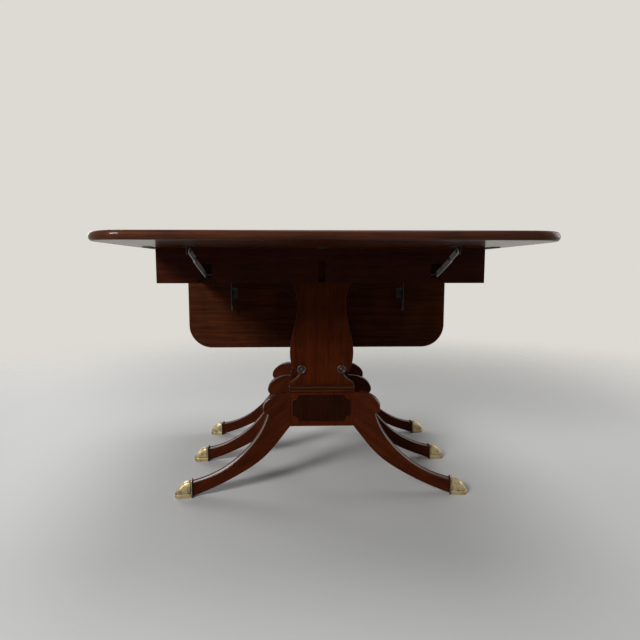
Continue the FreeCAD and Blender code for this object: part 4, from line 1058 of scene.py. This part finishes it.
def block_surface(arris):
    """A block with rounded edges and a sunk field for the panel on both faces.

    Rows of points run from the field out over the face, round the arris, along the side and back in on the
    other face. A row is the panel's outline or the block's oblong, drawn in by a quarter circle's inset;
    each hollow corner's points spread over the oblong's corner. Heights over the panel are drawn together, to
    leave the block's top to its reed. Gives (sideways, height, across) coordinates and the faces.
    """
    inner = panel_outline()
    steps = len(inner) // 4
    middle = (BLOCK_TOP + BLOCK_BOTTOM) / 2
    half = np.array((BLOCK_HALF_WIDTH, (BLOCK_TOP - BLOCK_BOTTOM) / 2))
    margin = half - PANEL_RAIL_MARGIN - PANEL_EDGE_SLACK
    share = np.linspace(0.0, 2.0, steps)[:, None]
    runs = []
    for corner in inner.reshape(4, steps, 2) - np.array((0.0, middle)):
        turning = np.sign(corner.sum(axis=0)) * half
        first = np.where(np.abs(corner[0]) > margin, turning, corner[0])
        last = np.where(np.abs(corner[-1]) > margin, turning, corner[-1])
        to_corner = first + (turning - first) * share
        from_corner = turning + (last - turning) * (share - 1)
        runs.append(np.where(share < 1, to_corner, from_corner))
    outer = np.vstack(runs)
    inset, depth = rim_section(arris)
    bounded = np.sign(outer) * np.minimum(np.abs(outer), half - inset[:, None, None])
    face = np.concatenate((np.broadcast_to(inner - np.array((0.0, middle)), (2, *inner.shape)), bounded))
    across = np.concatenate(((PANEL_POCKET, 0.0), depth)) - BLOCK_HALF_DEPTH
    flat = np.concatenate((face, face[::-1])) + np.array((0.0, middle))
    over_panel = np.maximum(flat[:, :, 1] - (BLOCK_TOP - PANEL_RAIL_MARGIN), 0.0)
    flat[:, :, 1] -= over_panel * (BLOCK_TOP - KNEE_TOP) / PANEL_RAIL_MARGIN
    grid = with_level(flat, np.concatenate((across, -across[::-1]))[:, None])
    return grid.reshape(-1, 3), capped(*grid.shape[:2])


def bead_ring(outline, width, rise, sink):
    """A half-round bead carried along an outline: half an ellipse of the given width and rise, on a straight
    foot let into the wood. Gives (first, second, height) coordinates and the faces."""
    turn = np.linspace(0.0, math.pi, HALF_ROUND_POINTS)
    aside = np.concatenate((0.5 * width * np.cos(turn), (-0.5 * width, 0.5 * width)))
    height = np.concatenate((rise * np.sin(turn), (-sink, -sink)))
    normals = outline_normals(outline)
    flat = outline[:, None] + normals[:, None] * aside[None, :, None]
    grid = with_level(flat, height[None])
    rows, columns = grid.shape[:2]
    closing = np.concatenate((grid, grid[:1]))
    return closing.reshape(-1, 3), ring_faces(rows + 1, columns)


# Operators

class TABLE_OT_slabs(bpy.types.Operator):
    """Shaped slabs of the three pedestals, with softened edges"""
    bl_idname = "table.slabs"
    bl_label = "Shaped slabs"

    def execute(self, context):
        sizes = context.scene.table_sizes
        colours = context.scene.table_colours
        finish = wood("slab_mahogany", *stain(colours, "wood"), axis=2, roughness=0.45, seed=0.31)
        for prefix in PEDESTALS:
            outline, room = slab_outline(prefix)
            points, faces = rounded_plate(outline, SLAB_HALF_DEPTH, sizes.arris, room)
            shape = (on_pedestal(points, prefix), faces)
            name = prefix + "_slab"
            made = piece(prefix + "_shaped_slab", shape, name, finish)
            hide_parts(name)
        return {"FINISHED"}


class TABLE_OT_legs(bpy.types.Operator):
    """Sabre legs with beaded tops"""
    bl_idname = "table.legs"
    bl_label = "Sabre legs"

    def execute(self, context):
        sizes = context.scene.table_sizes
        colours = context.scene.table_colours
        finish = wood("leg_mahogany", *stain(colours, "wood"), specular=0.05, coat=0.5,
                      polished=lambda made: made.carried("shine"), follows_grain=True)
        points, faces, shine = leg_surface(sizes.leg_bead, sizes.leg_sinking)
        seed = 0.0
        for prefix in PEDESTALS:
            for label, side in (("left", -1), ("right", 1)):
                seed += LEG_GRAIN_STEP
                name = f"{prefix}_leg_{label}"
                shape = (on_leg(points, prefix, side), faces)
                made = piece(f"{prefix}_sabre_leg_{label}", shape, name, finish,
                             {"grain": leg_grain(points, seed), "shine": shine})
                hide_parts(name)
        return {"FINISHED"}


class TABLE_OT_toe_caps(bpy.types.Operator):
    """Brass toe caps with a collar and a sole"""
    bl_idname = "table.toe_caps"
    bl_label = "Toe caps"

    def execute(self, context):
        colours = context.scene.table_colours
        finish = patinated_brass("cap_brass", tuple(colours.brass_bright), tuple(colours.brass_dull))
        points, faces, recess = toe_cap()
        for prefix in PEDESTALS:
            shape = gathered([(on_leg(points, prefix, side), faces) for side in (-1, 1)])
            name = prefix + "_toe_caps"
            made = piece(prefix + "_shod_toes", shape, name, finish, {"recess": np.tile(recess, 2)})
            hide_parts(name)
        return {"FINISHED"}


class TABLE_OT_rosettes(bpy.types.Operator):
    """Turned rosettes on both faces of the slabs"""
    bl_idname = "table.rosettes"
    bl_label = "Rosettes"

    def execute(self, context):
        sizes = context.scene.table_sizes
        finish = turned_wood("rosette_polish", tuple(context.scene.table_colours.rosette))
        radii, heights = rosette_profile(sizes.rosette_radius, sizes.rosette_rise)
        disc, faces = turned_solid(radii, heights, ROSETTE_SEGMENTS)
        level = SLAB_FOOT + ROSETTE_RISE
        for prefix in PEDESTALS:
            shapes = []
            for facing in (-1, 1):
                for side in (-1, 1):
                    placed = np.column_stack((disc[:, 0] + side * ROSETTE_OUT, disc[:, 1] + level,
                                              facing * (disc[:, 2] + SLAB_HALF_DEPTH)))
                    shapes.append((on_pedestal(placed, prefix), faces))
            name = prefix + "_rosettes"
            made = piece(prefix + "_turned_rosettes", gathered(shapes), name, finish)
            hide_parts(name)
        return {"FINISHED"}


class TABLE_OT_bands(bpy.types.Operator):
    """Reeded bands above the blocks"""
    bl_idname = "table.bands"
    bl_label = "Reeded bands"

    def execute(self, context):
        sizes = context.scene.table_sizes
        colours = context.scene.table_colours
        finish = wood("band_mahogany", *stain(colours, "band"), axis=0, coat=0.12, seed=2.3,
                      polished=lambda made: made.carried("crest"))
        points, faces, crest = reeded_surface(BLOCK_TOP, SLAB_FOOT, sizes.band_reeds, sizes.band_overhang)
        for prefix in PEDESTALS:
            shape = (on_pedestal(points, prefix), faces)
            name = prefix + "_reeded_band"
            made = piece(prefix + "_reeds", shape, name, finish, {"crest": crest})
            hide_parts(name)
        return {"FINISHED"}


class TABLE_OT_blocks(bpy.types.Operator):
    """Blocks with their dark panels, and a bead round each panel"""
    bl_idname = "table.blocks"
    bl_label = "Blocks and panels"

    def execute(self, context):
        sizes = context.scene.table_sizes
        colours = context.scene.table_colours
        mahogany = stain(colours, "wood")
        block_wood = wood("block_mahogany", *mahogany, axis=2, seed=4.1)
        bead_wood = wood("bead_mahogany", *mahogany, axis=0, specular=0.12, seed=1.2)
        crown_wood = wood("reed_mahogany", *mahogany, axis=0, coat=0.15, seed=2.9,
                          polished=lambda made: made.carried("crest"))
        veneer = wood("panel_veneer_polish", *stain(colours, "panel"), axis=2, seed=5.7)
        bead_width = sizes.panel_bead
        bead, bead_faces = bead_ring(panel_outline(), bead_width, BEAD_RISE * bead_width, BEAD_SINK)
        solid, solid_faces = block_surface(sizes.block_arris)
        crown, crown_faces, crest = reeded_surface(KNEE_TOP, BLOCK_TOP, sizes.band_reeds, sizes.band_overhang)
        for prefix in PEDESTALS:
            name = prefix + "_block"
            block_shape = (on_pedestal(solid, prefix), solid_faces)
            made = piece(prefix + "_rounded_block", block_shape, name, block_wood)
            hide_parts(name)
            crown_shape = (on_pedestal(crown, prefix), crown_faces)
            piece(prefix + "_block_reed", crown_shape, name, crown_wood, {"crest": crest})
            dress((prefix + "_block_panels",), veneer)
            shapes = []
            for facing in (-1, 1):
                placed = np.column_stack((bead[:, :2], facing * (bead[:, 2] + BLOCK_HALF_DEPTH)))
                shapes.append((on_pedestal(placed, prefix), bead_faces))
            piece(prefix + "_panel_beads", gathered(shapes), name, bead_wood)
        return {"FINISHED"}


class TABLE_OT_boards(bpy.types.Operator):
    """Finishes of the top, the leaves, the aprons and the hidden wood"""
    bl_idname = "table.boards"
    bl_label = "Boards and slides"

    def execute(self, context):
        colours = context.scene.table_colours
        top = stain(colours, "top")
        # Aprons and bearer: mahogany darkened as painted shade, and darker still on the aprons' hidden faces
        apron = stain(colours, "apron")
        inner = stain(colours, "inner")
        for name, seed in (("front_leaf", 0.9), ("front_bed_top", 2.2), ("rear_bed_top", 4.6)):
            board = wood(name + "_mahogany", *top, axis=0, coat=0.3, seed=seed, polished=rubbed_top,
                         joint_dirt_and_shade=joint_lines, fibre_pattern=BOARD_FIBRES)
            dress((name,), board)
        outer_face = beyond(1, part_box("rear_leaf")[0].y + FACE_DEPTH)
        hung = wood("hung_leaf_mahogany", *top, axis=0, coat=0.2, seed=1.6, polished=outer_face,
                    fibre_pattern=BOARD_FIBRES)
        rail = wood("apron_mahogany", *apron, axis=0, seed=3.3, joint_dirt_and_shade=apron_painted_shade)
        side_rail = wood("side_apron_mahogany", *apron, axis=1, seed=3.9, joint_dirt_and_shade=apron_painted_shade)
        bearer = wood("bearer_mahogany", *apron, axis=0, seed=3.3)
        # Hidden wood, coloured dark as painted shade
        upright = wood("inner_wood_upright", *inner, axis=2, roughness=0.6, seed=6.1)
        length = wood("inner_wood_long", *inner, axis=1, roughness=0.6, seed=6.7)
        cross = wood("inner_wood_cross", *inner, axis=0, roughness=0.6, seed=7.3)
        dress(("rear_leaf",), hung)
        for end in ("front", "rear"):
            dress((end + "_end_apron",), rail)
            dress((end + "_side_aprons",), side_rail)
            dress((end + "_corner_blocks",), upright)
            dress((end + "_head_block",), cross)
            dress((end + "_slide_runners",), length)
        dress(("slide_rails",), length)
        dress(("centre_bearer",), bearer)
        return {"FINISHED"}


class TABLE_OT_ironwork(bpy.types.Operator):
    """Finishes of the hinges, screws, pins and folding stays"""
    bl_idname = "table.ironwork"
    bl_label = "Hinges and stays"

    def execute(self, context):
        colours = context.scene.table_colours
        link_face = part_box("front_stay_upper_right")[0].x + RIVET_HEIGHT
        raised = worked_steel("stay_steel_filed", tuple(colours.stay_steel), roughness=0.42, metallic=0.35,
                              rivet=link_face)
        # Same steel as the raised stays, darkened: painted shade under the top
        hanging = worked_steel("stay_steel_tarnished", tuple(colours.stay_steel_in_painted_shade), roughness=0.5,
                               metallic=0.35, rivet=link_face)
        black = worked_steel("hinge_steel_black", tuple(colours.hinge_steel), roughness=0.5, metallic=0.25)
        for end in ("front", "rear"):
            dress((end + "_bed_hinge_plates", end + "_bed_hinge_screws", end + "_pivot_pins",
                   end + "_leaf_hinge_plates", end + "_leaf_screws", end + "_stay_brackets"), black)
            links = [f"{end}_stay_{link}_{side}" for link in ("lower", "upper") for side in ("left", "right")]
            dress(links, raised if end == "front" else hanging)
        return {"FINISHED"}


class TABLE_OT_stage(bpy.types.Operator):
    """Pale floor, soft lamps, backdrop and the camera"""
    bl_idname = "table.stage"
    bl_label = "Studio"

    def execute(self, context):
        scene = context.scene
        colours = scene.table_colours
        scene.view_settings.view_transform = "Standard"
        self.floor(scene, tuple(colours.floor))
        self.backdrop(scene, tuple(colours.backdrop))
        for lamp in LAMPS:
            self.hang(scene, lamp)
        self.camera(scene)
        return {"FINISHED"}

    def floor(self, scene, colour):
        """Round floor that fades into the backdrop: rings of points at even turns."""
        turn = np.linspace(0.0, 2 * math.pi, FLOOR_SEGMENTS, endpoint=False)
        plan = FLOOR_RADII[:, None, None] * np.column_stack((np.cos(turn), np.sin(turn)))
        grid = with_level(plan, 0.0)
        faces = ring_faces(*grid.shape[:2]) + [list(range(FLOOR_SEGMENTS))]
        mesh = bpy.data.meshes.new("floor")
        mesh.from_pydata(grid.reshape(-1, 3).tolist(), [], faces)
        made = bpy.data.objects.new("floor", mesh)
        scene.collection.objects.link(made)
        finish = Finish("floor_paint")
        place = finish.object_place()
        reach = finish.node("ShaderNodeVectorMath", {"operation": "LENGTH"}, {0: place}, output="Value")
        fade = finish.stepped(reach, *FLOOR_FADE)
        speckle = finish.noise(place, scale=6.0, detail=3.0)
        tone = finish.mix(speckle * SPECKLE_COVER, colour, deeper(colour, SPECKLE_DARKER))
        paint = finish.node("ShaderNodeBsdfPrincipled", {}, {
            "Base Color": tone, "Roughness": 0.6, "Specular IOR Level": 0.2})
        clear = finish.node("ShaderNodeBsdfTransparent")
        both = finish.node("ShaderNodeMixShader", {}, {0: fade, 1: paint, 2: clear})
        finish.node("ShaderNodeOutputMaterial", {}, {"Surface": both})
        mesh.materials.append(finish.material)

    def backdrop(self, scene, colour):
        """Pale backdrop for what the camera and shiny surfaces see, and an even dimmer fill."""
        world = bpy.data.worlds.new("studio")
        world.use_nodes = True
        scene.world = world
        finish = Finish("studio", world.node_tree)
        seen = finish.node("ShaderNodeLightPath", {}, {}, output="Is Camera Ray")
        shiny = Value(finish, seen.socket.node.outputs["Is Glossy Ray"])
        through = Value(finish, seen.socket.node.outputs["Is Transmission Ray"])
        share = finish.maths("MAXIMUM", finish.maths("MAXIMUM", seen, shiny), through)
        fill = finish.node("ShaderNodeBackground", {}, {"Color": FILL_COLOUR, "Strength": FILL_STRENGTH})
        pale = finish.node("ShaderNodeBackground", {}, {"Color": (*colour, 1.0), "Strength": 1.0})
        both = finish.node("ShaderNodeMixShader", {}, {0: share, 1: fill, 2: pale})
        finish.node("ShaderNodeOutputWorld", {}, {"Surface": both})

    def hang(self, scene, lamp):
        """A soft round lamp, turned towards what it points at."""
        data = bpy.data.lights.new(lamp.name, "AREA")
        data.shape = "DISK"
        data.size = lamp.width
        data.energy = lamp.watts
        made = bpy.data.objects.new(lamp.name, data)
        made.location = lamp.place
        sight = Vector(lamp.aim) - Vector(lamp.place)
        made.rotation_euler = sight.to_track_quat("-Z", "Y").to_euler()
        scene.collection.objects.link(made)

    def camera(self, scene):
        """The camera, level from side to side."""
        data = bpy.data.cameras.new("camera")
        data.lens = CAMERA_LENS
        data.sensor_width = SENSOR_WIDTH
        data.sensor_fit = "HORIZONTAL"
        data.clip_start = NEAREST_SEEN
        made = bpy.data.objects.new("camera", data)
        made.location = CAMERA_PLACE
        made.rotation_euler = (math.pi / 2 - CAMERA_PITCH, 0.0, -CAMERA_YAW)
        scene.collection.objects.link(made)
        scene.camera = made


class TABLE_PT_sidebar(bpy.types.Panel):
    """Sizes, colours and pieces of the table"""
    bl_idname = "TABLE_PT_sidebar"
    bl_label = "Drop-leaf table"
    bl_space_type = "VIEW_3D"
    bl_region_type = "UI"
    bl_category = "Table"

    def draw(self, context):
        for group in (context.scene.table_sizes, context.scene.table_colours):
            column = self.layout.column()
            for key in group.__annotations__:
                column.prop(group, key)
        for operator in OPERATORS:
            self.layout.operator(operator.bl_idname)


OPERATORS = (
    TABLE_OT_slabs, TABLE_OT_legs, TABLE_OT_toe_caps, TABLE_OT_rosettes, TABLE_OT_bands, TABLE_OT_blocks,
    TABLE_OT_boards, TABLE_OT_ironwork, TABLE_OT_stage,
)
CLASSES = (TableSizes, TableColours, *OPERATORS, TABLE_PT_sidebar)


def register():
    for item in CLASSES:
        bpy.utils.register_class(item)
    bpy.types.Scene.table_sizes = bpy.props.PointerProperty(type=TableSizes)
    bpy.types.Scene.table_colours = bpy.props.PointerProperty(type=TableColours)


def unregister():
    del bpy.types.Scene.table_colours
    del bpy.types.Scene.table_sizes
    for item in reversed(CLASSES):
        bpy.utils.unregister_class(item)


def main():
    """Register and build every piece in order."""
    register()
    bpy.ops.table.slabs()
    bpy.ops.table.legs()
    bpy.ops.table.toe_caps()
    bpy.ops.table.rosettes()
    bpy.ops.table.bands()
    bpy.ops.table.blocks()
    bpy.ops.table.boards()
    bpy.ops.table.ironwork()
    bpy.ops.table.stage()
    bpy.context.view_layer.update()


if __name__ == "__main__":
    main()
